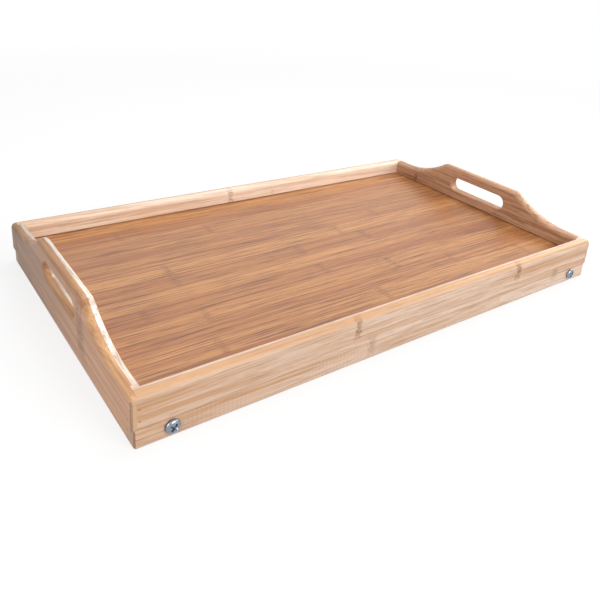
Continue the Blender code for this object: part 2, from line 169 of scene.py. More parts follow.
# %% [markdown]
# The floor and the light
#
# The photograph shows the tray on pure white, lit softly from above and from the front:
# faces towards -X are in shade, and the long face is brightest past its middle. Three large
# lamps give that, a small one lifts the left end, and a pale sky fills the shadows. Behind
# the tray the floor fades into the white of the world, which only camera, mirror and glass
# rays see.
#
# The floor comes in two halves, each a block whose top is the floor and whose bottom lies
# where the open feet stand.

# %% Where the open feet stand
def lowest_at_limit(node_name, joint_name):
    """The lowest point of a node when its joint is at the far end of its range."""
    joint = next(one for one in frame["joints"] if one["name"] == joint_name)
    angle = math.radians(joint["range_deg"][1])
    centre = Vector(joint["pos_m"])
    turn = Matrix.Rotation(angle, 4, Vector(joint["axis"]))
    swing = Matrix.Translation(centre) @ turn @ Matrix.Translation(-centre)
    return min((swing @ vertex.co).z for vertex in frame["nodes"][node_name].data.vertices)


feet_level = lowest_at_limit("left_front_leg", "left_leg_fold")
print("open feet stand at", round(feet_level, 4))

# %% A floor that fades to white
floor_reach = 8.0
fade_start, fade_end = 0.35, 1.6
least_white = 0.8

paper = bpy.data.materials.new("matt_white_studio_paper")
paper.use_nodes = True
tree = paper.node_tree
tree.nodes.clear()
spot = add(tree, "ShaderNodeTexCoord").outputs["Object"]
flat_spot = add(tree, "ShaderNodeVectorMath", {0: spot, 1: (1, 1, 0)}, operation="MULTIPLY")
distance = add(tree, "ShaderNodeVectorMath", {0: flat_spot.outputs[0]}, operation="LENGTH")
fade = add(tree, "ShaderNodeMapRange", {
    "Value": distance.outputs["Value"], "From Min": fade_start, "From Max": fade_end,
    "To Min": least_white,
}, interpolation_type="SMOOTHSTEP")
rays = add(tree, "ShaderNodeLightPath")
seen = add(tree, "ShaderNodeMath", {
    0: rays.outputs["Is Camera Ray"], 1: rays.outputs["Is Glossy Ray"],
}, operation="MAXIMUM")
share = add(tree, "ShaderNodeMath", {
    0: fade.outputs[0], 1: seen.outputs[0],
}, operation="MULTIPLY")
shown = add(tree, "ShaderNodeMix", {
    0: rays.outputs["Is Diffuse Ray"], 6: linear("faf9f8"), 7: linear("a5a29e"),
}, data_type="RGBA")
matt = add(tree, "ShaderNodeBsdfDiffuse", {"Color": shown.outputs[2], "Roughness": 0.5})
white = add(tree, "ShaderNodeEmission", {"Color": linear("ffffff"), "Strength": 1.0})
mixed = add(tree, "ShaderNodeMixShader", {
    0: share.outputs[0], 1: matt.outputs[0], 2: white.outputs[0],
})
add(tree, "ShaderNodeOutputMaterial", {"Surface": mixed.outputs[0]})

for name, side in (("left", -1), ("right", 1)):
    shape = bmesh.new()
    bmesh.ops.create_cube(shape, size=1)
    for vertex in shape.verts:
        vertex.co.x = side * floor_reach * (0.5 + side * vertex.co.x)
        vertex.co.y = 2 * floor_reach * vertex.co.y
        vertex.co.z = feet_level * (0.5 - vertex.co.z)
    bmesh.ops.recalc_face_normals(shape, faces=shape.faces)
    mesh = bpy.data.meshes.new(f"floor_{name}")
    shape.to_mesh(mesh)
    shape.free()
    mesh.materials.append(paper)
    floor = linked(f"floor_{name}", mesh)
    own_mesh(floor)
print("floor halves", floor_reach, "m wide")

# %% Sky and lamps
sky_level = 0.40
softboxes = (
    # Name, watts, size, place, aim
    ("top_softbox", 5.2, 0.7, (0.15, 0.30, 1.05), (0.0, 0.0, 0.02)),
    ("front_softbox", 7.5, 0.7, (0.16, -1.10, 0.48), (0.05, -0.12, 0.02)),
    ("right_softbox", 7.2, 0.6, (0.95, -0.10, 0.56), (0.0, 0.0, 0.03)),
    ("side_softbox", 0.9, 0.3, (-0.60, -0.30, 0.20), (-0.25, -0.14, 0.03)),
)

world = bpy.data.worlds.new("white_studio")
bpy.context.scene.world = world
world.use_nodes = True
tree = world.node_tree
tree.nodes.clear()
rays = add(tree, "ShaderNodeLightPath")
seen = add(tree, "ShaderNodeMath", {
    0: rays.outputs["Is Camera Ray"], 1: rays.outputs["Is Glossy Ray"],
}, operation="MAXIMUM")
seen = add(tree, "ShaderNodeMath", {
    0: seen.outputs[0], 1: rays.outputs["Is Transmission Ray"],
}, operation="MAXIMUM")
fill = add(tree, "ShaderNodeBackground", {"Color": linear("fbfcff"), "Strength": sky_level})
backdrop = add(tree, "ShaderNodeBackground", {"Color": linear("ffffff"), "Strength": 1.0})
mixed = add(tree, "ShaderNodeMixShader", {
    0: seen.outputs[0], 1: fill.outputs[0], 2: backdrop.outputs[0],
})
add(tree, "ShaderNodeOutputWorld", {"Surface": mixed.outputs[0]})

for name, watts, size, place, aim in softboxes:
    softbox = bpy.data.lights.new(name, "AREA")
    softbox.energy = watts
    softbox.size = size
    lamp = linked(name, softbox)
    lamp.location = place
    lamp.rotation_mode = "QUATERNION"
    lamp.rotation_quaternion = (Vector(aim) - Vector(place)).to_track_quat("-Z", "Y")
    print(name, "at", place, "with", watts, "W")

# %% [markdown]
# Bamboo
#
# Bamboo has no growth rings. Its wall is a mass of pale tissue with stiff fibre bundles in
# it, each about half a millimetre thick and very long, which a sawn face shows as fine dark
# lines and a slanting cut shows as short dashes. A three-dimensional noise that is drawn
# out along the stem gives both from one recipe, because the cut decides what is seen of it.
# So the pattern is a node group that reads a place in millimetres, with the stem's
# direction first, and it is used for every bamboo piece.
#
# At this picture size half a millimetre is half a pixel, so the bundles are drawn about
# twice as coarse as real ones. Every few inches a stem has a node, where the bundles
# swerve and darken. The group takes that as a mask, and gives back a colour and a height.

# %% The fibre pattern
def new_group(kind, name, inputs, outputs):
    """An empty node group, with each socket as a name, a kind and perhaps a default."""
    group = bpy.data.node_groups.new(name, kind)
    for direction, sockets in (("OUTPUT", outputs), ("INPUT", inputs)):
        for socket_name, socket_kind, *default in sockets:
            socket = group.interface.new_socket(
                name=socket_name, in_out=direction, socket_type=f"NodeSocket{socket_kind}"
            )
            if default:
                socket.default_value = default[0]
    return group


fibres = new_group("ShaderNodeTree", "bamboo_fibres", [
    ("Place", "Vector"), ("Tone", "Float", 0.5), ("Node", "Float", 0.0),
    ("Contrast", "Float", 1.0), ("Dashes", "Float", 0.5),
    ("Pale", "Color", linear("e6c79f")), ("Deep", "Color", linear("d2a878")),
    ("Bundle", "Color", linear("a9774a")), ("Scar", "Color", linear("7a4a2a")),
], [("Color", "Color"), ("Height", "Float")])
# Each pattern's length along the stem and width across it, in millimetres
bundle_length, bundle_width = 45.0, 1.5
dash_length, dash_width = 11.0, 0.8
streak_length, streak_width = 160.0, 4.5
swerve_length, swerve_width = 60.0, 9.0

source = add(fibres, "NodeGroupInput").outputs
swerve_place = add(fibres, "ShaderNodeVectorMath", {
    0: source["Place"], 1: (1 / swerve_length, 1 / swerve_width, 1 / swerve_width),
}, operation="MULTIPLY")
swerve = add(fibres, "ShaderNodeTexNoise", {
    "Vector": swerve_place.outputs[0], "Scale": 1.0, "Detail": 2.0,
})
swerve = add(fibres, "ShaderNodeVectorMath", {
    0: swerve.outputs["Color"], 1: (0.5, 0.5, 0.5),
}, operation="SUBTRACT")
sway = add(fibres, "ShaderNodeMath", {
    0: source["Node"], 1: 4.0, 2: 1.6,
}, operation="MULTIPLY_ADD")
swerve = add(fibres, "ShaderNodeVectorMath", {
    0: swerve.outputs[0], "Scale": sway.outputs[0],
}, operation="SCALE")
swerve = add(fibres, "ShaderNodeVectorMath", {
    0: swerve.outputs[0], 1: source["Place"],
}, operation="ADD")
layers = {}
for name, length, width, detail, low, high in (
    ("bundles", bundle_length, bundle_width, 4.0, 0.48, 0.64),
    ("dashes", dash_length, dash_width, 2.0, 0.52, 0.68),
    ("streaks", streak_length, streak_width, 2.0, 0.30, 0.70),
):
    place = add(fibres, "ShaderNodeVectorMath", {
        0: swerve.outputs[0], 1: (1 / length, 1 / width, 1 / width),
    }, operation="MULTIPLY")
    noise = add(fibres, "ShaderNodeTexNoise", {
        "Vector": place.outputs[0], "Scale": 1.0, "Detail": detail, "Roughness": 0.6,
    })
    layers[name] = add(fibres, "ShaderNodeMapRange", {
        "Value": noise.outputs["Fac"], "From Min": low, "From Max": high,
    }, interpolation_type="SMOOTHSTEP").outputs[0]
tone = add(fibres, "ShaderNodeMath", {
    0: layers["streaks"], 1: 0.8, 2: source["Tone"],
}, operation="MULTIPLY_ADD")
tone = add(fibres, "ShaderNodeMath", {
    0: tone.outputs[0], 1: 0.4,
}, operation="SUBTRACT", use_clamp=True)
tissue = add(fibres, "ShaderNodeMix", {
    0: tone.outputs[0], 6: source["Pale"], 7: source["Deep"],
}, data_type="RGBA")
lines = add(fibres, "ShaderNodeMath", {
    0: layers["dashes"], 1: source["Dashes"], 2: layers["bundles"],
}, operation="MULTIPLY_ADD")
strength = add(fibres, "ShaderNodeMath", {
    0: source["Contrast"], 1: 0.55,
}, operation="MULTIPLY")
lines_shown = add(fibres, "ShaderNodeMath", {
    0: lines.outputs[0], 1: strength.outputs[0],
}, operation="MULTIPLY", use_clamp=True)
grained = add(fibres, "ShaderNodeMix", {
    0: lines_shown.outputs[0], 6: tissue.outputs[2], 7: source["Bundle"],
}, data_type="RGBA")
blotch_place = add(fibres, "ShaderNodeVectorMath", {
    0: swerve.outputs[0], 1: (1 / 3.5, 1 / 1.6, 1 / 1.6),
}, operation="MULTIPLY")
blotch = add(fibres, "ShaderNodeTexNoise", {
    "Vector": blotch_place.outputs[0], "Scale": 1.0, "Detail": 3.0,
})
blotch = add(fibres, "ShaderNodeMapRange", {
    "Value": blotch.outputs["Fac"], "From Min": 0.35, "From Max": 0.65,
    "To Min": 0.3, "To Max": 0.9,
}, interpolation_type="SMOOTHSTEP")
scar = add(fibres, "ShaderNodeMath", {
    0: blotch.outputs[0], 1: source["Node"],
}, operation="MULTIPLY")
scarred = add(fibres, "ShaderNodeMix", {
    0: scar.outputs[0], 6: grained.outputs[2], 7: source["Scar"],
}, data_type="RGBA")
height = add(fibres, "ShaderNodeMath", {0: lines.outputs[0], 1: -1.0}, operation="MULTIPLY")
add(fibres, "NodeGroupOutput", {"Color": scarred.outputs[2], "Height": height.outputs[0]})
print("fibre group with", len(fibres.nodes), "nodes")

# %% [markdown]
# Node marks
#
# A node shows on a board as a brown, ragged band across one strip, as tall as the strip and
# about 8 mm long. In the photograph they can be counted, so the boards get them where they
# are. A second group makes one mark: it compares the place with the mark's centre and reach,
# and frays the band's ends with a noise.

# %% The mark of one node
mark = new_group("ShaderNodeTree", "node_mark", [
    ("Place", "Vector"), ("Centre", "Vector", (0, 0, 0)), ("Reach", "Vector", (4, 10, 4)),
    ("Strength", "Float", 1.0),
], [("Mask", "Float")])
source = add(mark, "NodeGroupInput").outputs
fray = add(mark, "ShaderNodeTexNoise", {
    "Vector": source["Place"], "Scale": 0.33, "Detail": 2.0,
})
fray = add(mark, "ShaderNodeVectorMath", {
    0: fray.outputs["Color"], 1: (0.5, 0.5, 0.5),
}, operation="SUBTRACT")
fray = add(mark, "ShaderNodeVectorMath", {
    0: fray.outputs[0], 1: (9, 1, 0),
}, operation="MULTIPLY")
frayed = add(mark, "ShaderNodeVectorMath", {
    0: source["Place"], 1: fray.outputs[0],
}, operation="ADD")
away = add(mark, "ShaderNodeVectorMath", {
    0: frayed.outputs[0], 1: source["Centre"],
}, operation="SUBTRACT")
away = add(mark, "ShaderNodeVectorMath", {
    0: away.outputs[0], 1: source["Reach"],
}, operation="DIVIDE")
away = add(mark, "ShaderNodeVectorMath", {0: away.outputs[0]}, operation="ABSOLUTE")
parts = add(mark, "ShaderNodeSeparateXYZ", {0: away.outputs[0]}).outputs
widest = add(mark, "ShaderNodeMath", {0: parts[0], 1: parts[1]}, operation="MAXIMUM")
widest = add(mark, "ShaderNodeMath", {0: widest.outputs[0], 1: parts[2]}, operation="MAXIMUM")
mask = add(mark, "ShaderNodeMapRange", {
    "Value": widest.outputs[0], "From Min": 1.2, "From Max": 0.3, "To Max": source["Strength"],
}, interpolation_type="SMOOTHSTEP")
add(mark, "NodeGroupOutput", {"Mask": mask.outputs[0]})
print("mark group with", len(mark.nodes), "nodes")

# %% [markdown]
# The boards' material: natural bamboo, pressed in two layers, sanded and lacquered
#
# The boards are plywood of a kind. Flat strips about 20 mm wide are glued side by side into
# sheets, and two sheets are pressed into a board. The rim's top shows it: a cream inner
# layer and an outer one that is golden where it is cut. On the faces each strip has its own
# tone. The layer comes from how deep a place lies in the board, the strip from its height,
# and a white noise of the two gives the tone. A satin lacquer lies over it, so the surface
# is a soft wood colour under a thin, smoother coat.

# %% Natural bamboo
millimetres = 1000
strip_height, strip_seam = 20.0, 34.5
layer_thickness = wall * millimetres / 2
saw_step, saw_depth = 3.4, 0.04
# Fine dark lines: the frames' joint, the strip seam, painted shade at the rim's foot, the corners
joint_line, seam_line, foot_painted_shade, corner_line = 0.25, 0.12, 0.4, 0.45
# How dark the strips are: 0 is the pale tissue and 1 the deep one
least_tone, tone_spread, inner_share, lower_change = 0.2, 0.5, 0.15, -0.3
# How far the long boards' left end turns deeper: partly wood tone, partly painted shade
left_tone_and_shade_from, left_tone_and_shade_to, left_tone_and_shade_depth = -250.0, -60.0, 0.5
# Painted shade on the left end board: where it starts, ends, and how light the far end stays
shade_from, shade_to, shade_left = -60.0, 150.0, 0.55
glue_reach, glue_strength, cut_strength = 0.09, 0.6, 0.85
panel_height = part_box("tray_panel")[1].z * millimetres


def new_material(name):
    """A material, its tree and its shader."""
    material = bpy.data.materials.new(name)
    material.use_nodes = True
    return material, material.node_tree, material.node_tree.nodes["Principled BSDF"]


def dark_line(tree, value, centre, reach, depth):
    """A factor of one that dips by the depth where the value is at the centre."""
    away = add(tree, "ShaderNodeMath", {0: value, 1: centre}, operation="SUBTRACT")
    away = add(tree, "ShaderNodeMath", {0: away.outputs[0]}, operation="ABSOLUTE")
    return add(tree, "ShaderNodeMapRange", {
        "Value": away.outputs[0], "From Max": reach, "To Min": 1 - depth,
    }).outputs[0]


def lacquer(tree, shader, colour, height, relief, sheen, coat, coat_roughness):
    """Soft wood with its fibres slightly raised, under a thin, smoother coat."""
    bump = add(tree, "ShaderNodeBump", {
        "Strength": relief, "Distance": 0.0002, "Height": height,
    }).outputs[0]
    plug(tree, shader, {
        "Base Color": colour, "Normal": bump, "Roughness": 0.5, "Specular IOR Level": sheen,
        "Coat Weight": coat, "Coat Roughness": coat_roughness,
    })


def bamboo_board(name, along, colours, marks, contrasts, corner_sum, cut_at):
    """Laminated bamboo whose stems run along X or Y, with the marks of its nodes."""
    material, tree, shader = new_material(name)
    end_board = along == "Y"
    spot = add(tree, "ShaderNodeTexCoord").outputs["Object"]
    spot = add(tree, "ShaderNodeVectorMath", {
        0: spot, "Scale": millimetres,
    }, operation="SCALE")
    x, y, z = add(tree, "ShaderNodeSeparateXYZ", {0: spot.outputs[0]}).outputs
    stem, depth = (y, x) if end_board else (x, y)
    inner_face = (well_half_length if end_board else well_half_width) * millimetres
    place = add(tree, "ShaderNodeCombineXYZ", {0: stem, 1: z, 2: depth}).outputs[0]
    # How many layers deep the place lies, counted outwards from the board's inner face
    inwards = add(tree, "ShaderNodeMath", {0: depth}, operation="ABSOLUTE")
    inwards = add(tree, "ShaderNodeMath", {
        0: inwards.outputs[0], 1: inner_face,
    }, operation="SUBTRACT")
    inwards = add(tree, "ShaderNodeMath", {
        0: inwards.outputs[0], 1: layer_thickness,
    }, operation="DIVIDE")
    layer = add(tree, "ShaderNodeMath", {0: inwards.outputs[0]}, operation="FLOOR")
    side = add(tree, "ShaderNodeMath", {0: depth}, operation="SIGN")
    # Each strip of a layer has its own tone, inner and lower strips are paler, and the long boards
    # turn deeper towards their left end: partly a warmer wood tone, partly painted shade
    lifted = add(tree, "ShaderNodeMath", {0: strip_seam, 1: z}, operation="SUBTRACT")
    strip = add(tree, "ShaderNodeMath", {
        0: lifted.outputs[0], 1: strip_height,
    }, operation="DIVIDE")
    strip = add(tree, "ShaderNodeMath", {0: strip.outputs[0]}, operation="FLOOR")
    key = add(tree, "ShaderNodeCombineXYZ", {
        0: layer.outputs[0], 1: strip.outputs[0], 2: side.outputs[0],
    })
    chance = add(tree, "ShaderNodeTexWhiteNoise", {"Vector": key.outputs[0]})
    tone = add(tree, "ShaderNodeMath", {
        0: chance.outputs["Value"], 1: tone_spread, 2: least_tone,
    }, operation="MULTIPLY_ADD")
    left_tone_and_shade = add(tree, "ShaderNodeMapRange", {
        "Value": x, "From Min": left_tone_and_shade_from, "From Max": left_tone_and_shade_to,
        "To Min": 0.0 if end_board else left_tone_and_shade_depth, "To Max": 0.0,
    })
    outer = add(tree, "ShaderNodeMath", {
        0: layer.outputs[0], 1: 0.5,
    }, operation="GREATER_THAN")
    inner_tone = add(tree, "ShaderNodeMapRange", {
        "Value": outer.outputs[0], "To Min": inner_share,
    })
    tone = add(tree, "ShaderNodeMath", {
        0: tone.outputs[0], 1: inner_tone.outputs[0],
    }, operation="MULTIPLY")
    tone = add(tree, "ShaderNodeMath", {
        0: tone.outputs[0], 1: left_tone_and_shade.outputs[0],
    }, operation="ADD")
    below = add(tree, "ShaderNodeMath", {
        0: z, 1: upper_bottom * millimetres,
    }, operation="LESS_THAN")
    tone = add(tree, "ShaderNodeMath", {
        0: below.outputs[0], 1: lower_change, 2: tone.outputs[0],
    }, operation="MULTIPLY_ADD")
    masks = 0.0
    for centre, reach, strength in marks:
        one = add(tree, "ShaderNodeGroup", {
            "Place": place, "Centre": centre, "Reach": reach, "Strength": strength,
        }, node_tree=mark)
        masks = add(tree, "ShaderNodeMath", {
            0: masks, 1: one.outputs["Mask"],
        }, operation="MAXIMUM").outputs[0]
    # The right end board's inner layer is browner, partly its wood and partly painted shade
    # with the brown of light bounced off the panel; the outer layer is golden where it is cut
    right = add(tree, "ShaderNodeMath", {
        0: x, 1: well_half_length * millimetres - 1,
    }, operation="GREATER_THAN")
    brown_and_shaded_side = add(tree, "ShaderNodeMath", {
        0: right.outputs[0], 1: outer.outputs[0],
    }, operation="SUBTRACT", use_clamp=True)
    brown_and_shaded_side = brown_and_shaded_side.outputs[0] if end_board else 0.0
    inner, deep, bundle = [
        add(tree, "ShaderNodeMix", {
            0: brown_and_shaded_side, 6: linear(colours[part]), 7: linear(browner_and_shaded[part]),
        }, data_type="RGBA")
        for part in browner_and_shaded
    ]
    upward = add(tree, "ShaderNodeSeparateXYZ", {
        0: add(tree, "ShaderNodeNewGeometry").outputs["True Normal"],
    })
    upward = add(tree, "ShaderNodeMapRange", {
        "Value": upward.outputs[2], "From Min": 0.25, "From Max": 0.75,
    })
    skin_layer = add(tree, "ShaderNodeMix", {
        0: upward.outputs[0], 6: linear(colours["outer"]), 7: linear(colours["top"]),
    }, data_type="RGBA")
    pale = add(tree, "ShaderNodeMix", {
        0: outer.outputs[0], 6: inner.outputs[2], 7: skin_layer.outputs[2],
    }, data_type="RGBA")
    # The glue line between the two layers
    within = add(tree, "ShaderNodeMath", {0: inwards.outputs[0], 1: 1.0}, operation="SUBTRACT")
    within = add(tree, "ShaderNodeMath", {0: within.outputs[0]}, operation="ABSOLUTE")
    glue = add(tree, "ShaderNodeMapRange", {
        "Value": within.outputs[0], "From Min": glue_reach, "From Max": 0.0,
        "To Max": glue_strength,
    })
    pale = add(tree, "ShaderNodeMix", {
        0: glue.outputs[0], 6: pale.outputs[2], 7: linear(colours["deep"]),
    }, data_type="RGBA")
    # The fibres show less on the outside of the end boards and on the inside of the rails
    shown = add(tree, "ShaderNodeMapRange", {
        "Value": outer.outputs[0], "To Min": contrasts[0], "To Max": contrasts[1],
    })
    wood = add(tree, "ShaderNodeGroup", {
        "Place": place, "Tone": tone.outputs[0], "Node": masks, "Pale": pale.outputs[2],
        "Deep": deep.outputs[2], "Bundle": bundle.outputs[2], "Scar": linear(colours["scar"]),
        "Contrast": shown.outputs[0],
    }, node_tree=fibres)
    # Faint marks of a saw, square to the grain, on the lower frame only
    tick = add(tree, "ShaderNodeMath", {
        0: stem, 1: 2 * math.pi / saw_step,
    }, operation="MULTIPLY")
    tick = add(tree, "ShaderNodeMath", {0: tick.outputs[0]}, operation="SINE")
    patch = add(tree, "ShaderNodeTexNoise", {"Vector": place, "Scale": 0.02, "Detail": 1.0})
    patch = add(tree, "ShaderNodeMapRange", {
        "Value": patch.outputs["Fac"], "From Min": 0.45, "From Max": 0.6, "To Max": saw_depth,
    })
    tick = add(tree, "ShaderNodeMath", {
        0: tick.outputs[0], 1: patch.outputs[0],
    }, operation="MULTIPLY")
    tick = add(tree, "ShaderNodeMath", {
        0: tick.outputs[0], 1: below.outputs[0],
    }, operation="MULTIPLY")
    # This factor gathers the saw marks, the dark joints and lines, and the painted shade
    marks_and_painted_shade = add(tree, "ShaderNodeMath", {
        0: tick.outputs[0], 1: 1.0,
    }, operation="ADD").outputs[0]
    # Fine dark lines: the joint of the two frames and the upright corners, and a line of painted
    # shade along the rim's foot, where the panel meets the boards
    foot = dark_line(tree, z, panel_height, 1.3, foot_painted_shade)
    from_face = add(tree, "ShaderNodeMath", {
        0: inwards.outputs[0],
    }, operation="ABSOLUTE").outputs[0]
    foot = add(tree, "ShaderNodeMath", {
        0: from_face, 1: 8.0, 2: foot,
    }, operation="MULTIPLY_ADD", use_clamp=True)
    ends = add(tree, "ShaderNodeMath", {0: x}, operation="ABSOLUTE")
    sides = add(tree, "ShaderNodeMath", {0: y}, operation="ABSOLUTE")
    both = add(tree, "ShaderNodeMath", {
        0: ends.outputs[0], 1: sides.outputs[0],
    }, operation="ADD")
    # Painted shade: the left end board darkens towards its far end, where less light reaches
    far_end_painted_shade = add(tree, "ShaderNodeMapRange", {
        "Value": y, "From Min": shade_from, "From Max": shade_to, "To Min": 1.0,
        "To Max": shade_left,
    })
    far_end_painted_shade = add(tree, "ShaderNodeMath", {
        0: far_end_painted_shade.outputs[0], 1: right.outputs[0] if end_board else 1.0,
    }, operation="MAXIMUM")
    for line in (
        dark_line(tree, z, upper_bottom * millimetres, 1.0, joint_line), foot.outputs[0],
        dark_line(tree, z, strip_seam, 0.8, seam_line),
        dark_line(tree, both.outputs[0], corner_sum, 0.5, corner_line), far_end_painted_shade.outputs[0],
    ):
        marks_and_painted_shade = add(tree, "ShaderNodeMath", {
            0: marks_and_painted_shade, 1: line,
        }, operation="MULTIPLY").outputs[0]
    # The cut ends show no long fibres, only an even tone
    end_place = (sides if end_board else ends).outputs[0]
    cut_end = add(tree, "ShaderNodeMapRange", {
        "Value": end_place, "From Min": cut_at - 1.2, "From Max": cut_at - 0.4,
        "To Max": cut_strength,
    }).outputs[0]
    faced = add(tree, "ShaderNodeMix", {
        0: cut_end, 6: wood.outputs["Color"], 7: linear(colours["cut"]),
    }, data_type="RGBA")
    sawn = add(tree, "ShaderNodeVectorMath", {
        0: faced.outputs[2], "Scale": marks_and_painted_shade,
    }, operation="SCALE")
    lacquer(tree, shader, sawn.outputs[0], wood.outputs["Height"], 0.25, 0.3, 0.15, 0.3)
    return material


rail_plies = {
    "inner": "eed7c2", "outer": "e9cfbb", "top": "d2a272", "deep": "cb9f7a",
    "bundle": "b58763", "scar": "8a5836", "cut": "b98e6f",
}
# The end boards' inner layer is cream, lifted nearly to white as a painted highlight along the
# inner top edges
end_plies = {
    "inner": "fdf2e3", "outer": "dca883", "top": "e6b583", "deep": "b98660",
    "bundle": "94603e", "scar": "74462c", "cut": "d2ab8a",
}
# The right end board's inner layer: a browner wood, with painted shade and the painted brown of
# light bounced off the panel
browner_and_shaded = {"inner": "d3a684", "deep": "a06c4e", "bundle": "74462f"}
rail_marks = [
    # Centre along the stem, upwards and across the board, reach each way, strength
    ((-67, 33, -148), (3.5, 10, 4), 0.9), ((131, 34, -148), (3.5, 10, 4), 1.0),
    ((-51, 12, -148), (5, 10, 4), 0.5), ((195, 15, -148), (6, 8, 4), 0.55),
    ((-20, 33, 141), (3.5, 10, 4), 0.7), ((37, 30, 141), (2, 3, 4), 0.4),
    ((-150, 8, 148), (4, 8, 4), 0.8), ((44, 31, 148), (4, 11, 4), 0.8),
    ((-118, 30, -141), (4, 10, 4), 0.7),
]
end_marks = [
    ((134, 28, -248), (5, 14, 4), 0.7), ((98, 9, -248), (7, 8, 4), 0.5),
    ((-53, 36, -248), (9, 30, 4), 0.8), ((-30, 55, -246), (6, 8, 5), 0.4),
    ((102, 30, 241), (4, 7, 4), 1.0), ((-88, 44, 241), (3, 12, 4), 0.3),
    ((-121, 31, 248), (4, 11, 4), 0.8), ((61, 44, 248), (4, 11, 4), 0.8),
    ((-12, 8, 248), (4, 8, 4), 0.8),
]
# How strongly the fibres show in the inner and in the outer layer
rail_contrasts, end_contrasts = (0.54, 0.9), (0.9, 0.495)
corner_round = 0.002
corner_cut = 2 * corner_round * (1 - math.sqrt(0.5))
corner_middle = (half_length + half_width - corner_cut) * millimetres
lower_inset = (half_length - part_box("back_lower_rail")[1].x) * millimetres
rail_bamboo = bamboo_board(
    "lacquered_natural_bamboo_along_x", "X", rail_plies, rail_marks, rail_contrasts,
    corner_middle - lower_inset, half_length * millimetres - lower_inset,
)
end_bamboo = bamboo_board(
    "lacquered_natural_bamboo_along_y", "Y", end_plies, end_marks, end_contrasts,
    corner_middle, half_width * millimetres,
)
print("board materials:", rail_bamboo.name, end_bamboo.name)

# %% [markdown]
# The panel's material: carbonised bamboo veneer, lacquered
#
# Steaming bamboo under pressure darkens its sugars, which is what the trade calls
# carbonised. The panel's face is a sheet of such strips, and it is browner, with stronger
# lines than the boards. Each strip carries how dark it is and where its nodes lie, up to
# three of them, as attributes of its mesh, and the material reads both.

# %% Carbonised bamboo
node_reach, node_strength, node_fray = 4.5, 0.55, 8.0
stretch = (0.65, 1, 1)
dashes = 0.45


def veneer(name, along, colours, contrast, coat, coat_roughness):
    """Bamboo whose strips each have their tone and nodes from their mesh."""
    material, tree, shader = new_material(name)
    spot = add(tree, "ShaderNodeTexCoord").outputs["Object"]
    spot = add(tree, "ShaderNodeVectorMath", {
        0: spot, "Scale": millimetres,
    }, operation="SCALE").outputs[0]
    x, y, z = add(tree, "ShaderNodeSeparateXYZ", {0: spot}).outputs
    stem, across = (x, y) if along == "X" else (y, x)
    tone = add(tree, "ShaderNodeAttribute", attribute_name="strip_tone").outputs["Fac"]
    nodes = add(tree, "ShaderNodeAttribute", attribute_name="strip_nodes").outputs["Vector"]
    # Each strip comes from another stem, so its pattern is moved a long way along
    shift = add(tree, "ShaderNodeVectorMath", {
        0: nodes, 1: (3.7, 1.3, 0.7),
    }, operation="DOT_PRODUCT")
    shifted = add(tree, "ShaderNodeMath", {
        0: shift.outputs["Value"], 1: stem,
    }, operation="ADD").outputs[0]
    place = add(tree, "ShaderNodeCombineXYZ", {0: shifted, 1: across, 2: z}).outputs[0]
    drawn_out = add(tree, "ShaderNodeVectorMath", {
        0: place, 1: stretch,
    }, operation="MULTIPLY").outputs[0]
    fray = add(tree, "ShaderNodeTexNoise", {
        "Vector": place, "Scale": 0.3, "Detail": 2.0,
    }).outputs["Fac"]
    frayed = add(tree, "ShaderNodeMath", {
        0: fray, 1: node_fray, 2: stem,
    }, operation="MULTIPLY_ADD").outputs[0]
    frayed = add(tree, "ShaderNodeMath", {
        0: frayed, 1: node_fray / 2,
    }, operation="SUBTRACT").outputs[0]
    away = add(tree, "ShaderNodeVectorMath", {
        0: frayed, 1: nodes,
    }, operation="SUBTRACT").outputs[0]
    away = add(tree, "ShaderNodeVectorMath", {0: away}, operation="ABSOLUTE").outputs[0]
    first, second, third = add(tree, "ShaderNodeSeparateXYZ", {0: away}).outputs
    nearest = add(tree, "ShaderNodeMath", {
        0: first, 1: second,
    }, operation="MINIMUM").outputs[0]
    nearest = add(tree, "ShaderNodeMath", {
        0: nearest, 1: third,
    }, operation="MINIMUM").outputs[0]
    node_mask = add(tree, "ShaderNodeMapRange", {
        "Value": nearest, "From Min": node_reach * 1.3, "From Max": 0.0, "To Max": node_strength,
    }, interpolation_type="SMOOTHSTEP").outputs[0]
    shades = {part.capitalize(): linear(colour) for part, colour in colours.items()}
    wood = add(tree, "ShaderNodeGroup", shades | {
        "Place": drawn_out, "Tone": tone, "Node": node_mask, "Contrast": contrast,
        "Dashes": dashes,
    }, node_tree=fibres).outputs
    lacquer(tree, shader, wood["Color"], wood["Height"], 0.3, 0.25, coat, coat_roughness)
    return material


carbonised = {"pale": "c58a51", "deep": "a06133", "bundle": "663a1e", "scar": "774526"}
natural = {"pale": "ecc9a4", "deep": "d9a878", "bundle": "a9774e", "scar": "7d4c2c"}
panel_bamboo = veneer("lacquered_carbonised_bamboo_veneer", "X", carbonised, 1.35, 0.8, 0.34)
leg_bamboo = veneer("lacquered_bamboo_leg", "X", natural, 0.6, 0.3, 0.3)
bar_bamboo = veneer("lacquered_bamboo_crossbar", "Y", natural, 0.6, 0.3, 0.3)
print("strip materials:", panel_bamboo.name, leg_bamboo.name, bar_bamboo.name)

# %% [markdown]
# Metal, nylon and filler
#
# The bolts and nuts are steel with a bright zinc coating, which is a little blue and shows
# fine spangles where its crystals lie at different angles. Only the roughness changes from
# spangle to spangle, so the colour stays even. The lock nuts hold a nylon ring, and the
# brads that pin the corners lie under dots of brown wood filler.

# %% Steel, nylon and filler
def plain(name, colour, roughness, metallic=0.0):
    """A material of one colour, given back with its tree and shader."""
    material, tree, shader = new_material(name)
    plug(tree, shader, {
        "Base Color": linear(colour), "Roughness": roughness, "Metallic": metallic,
    })
    return material, tree, shader


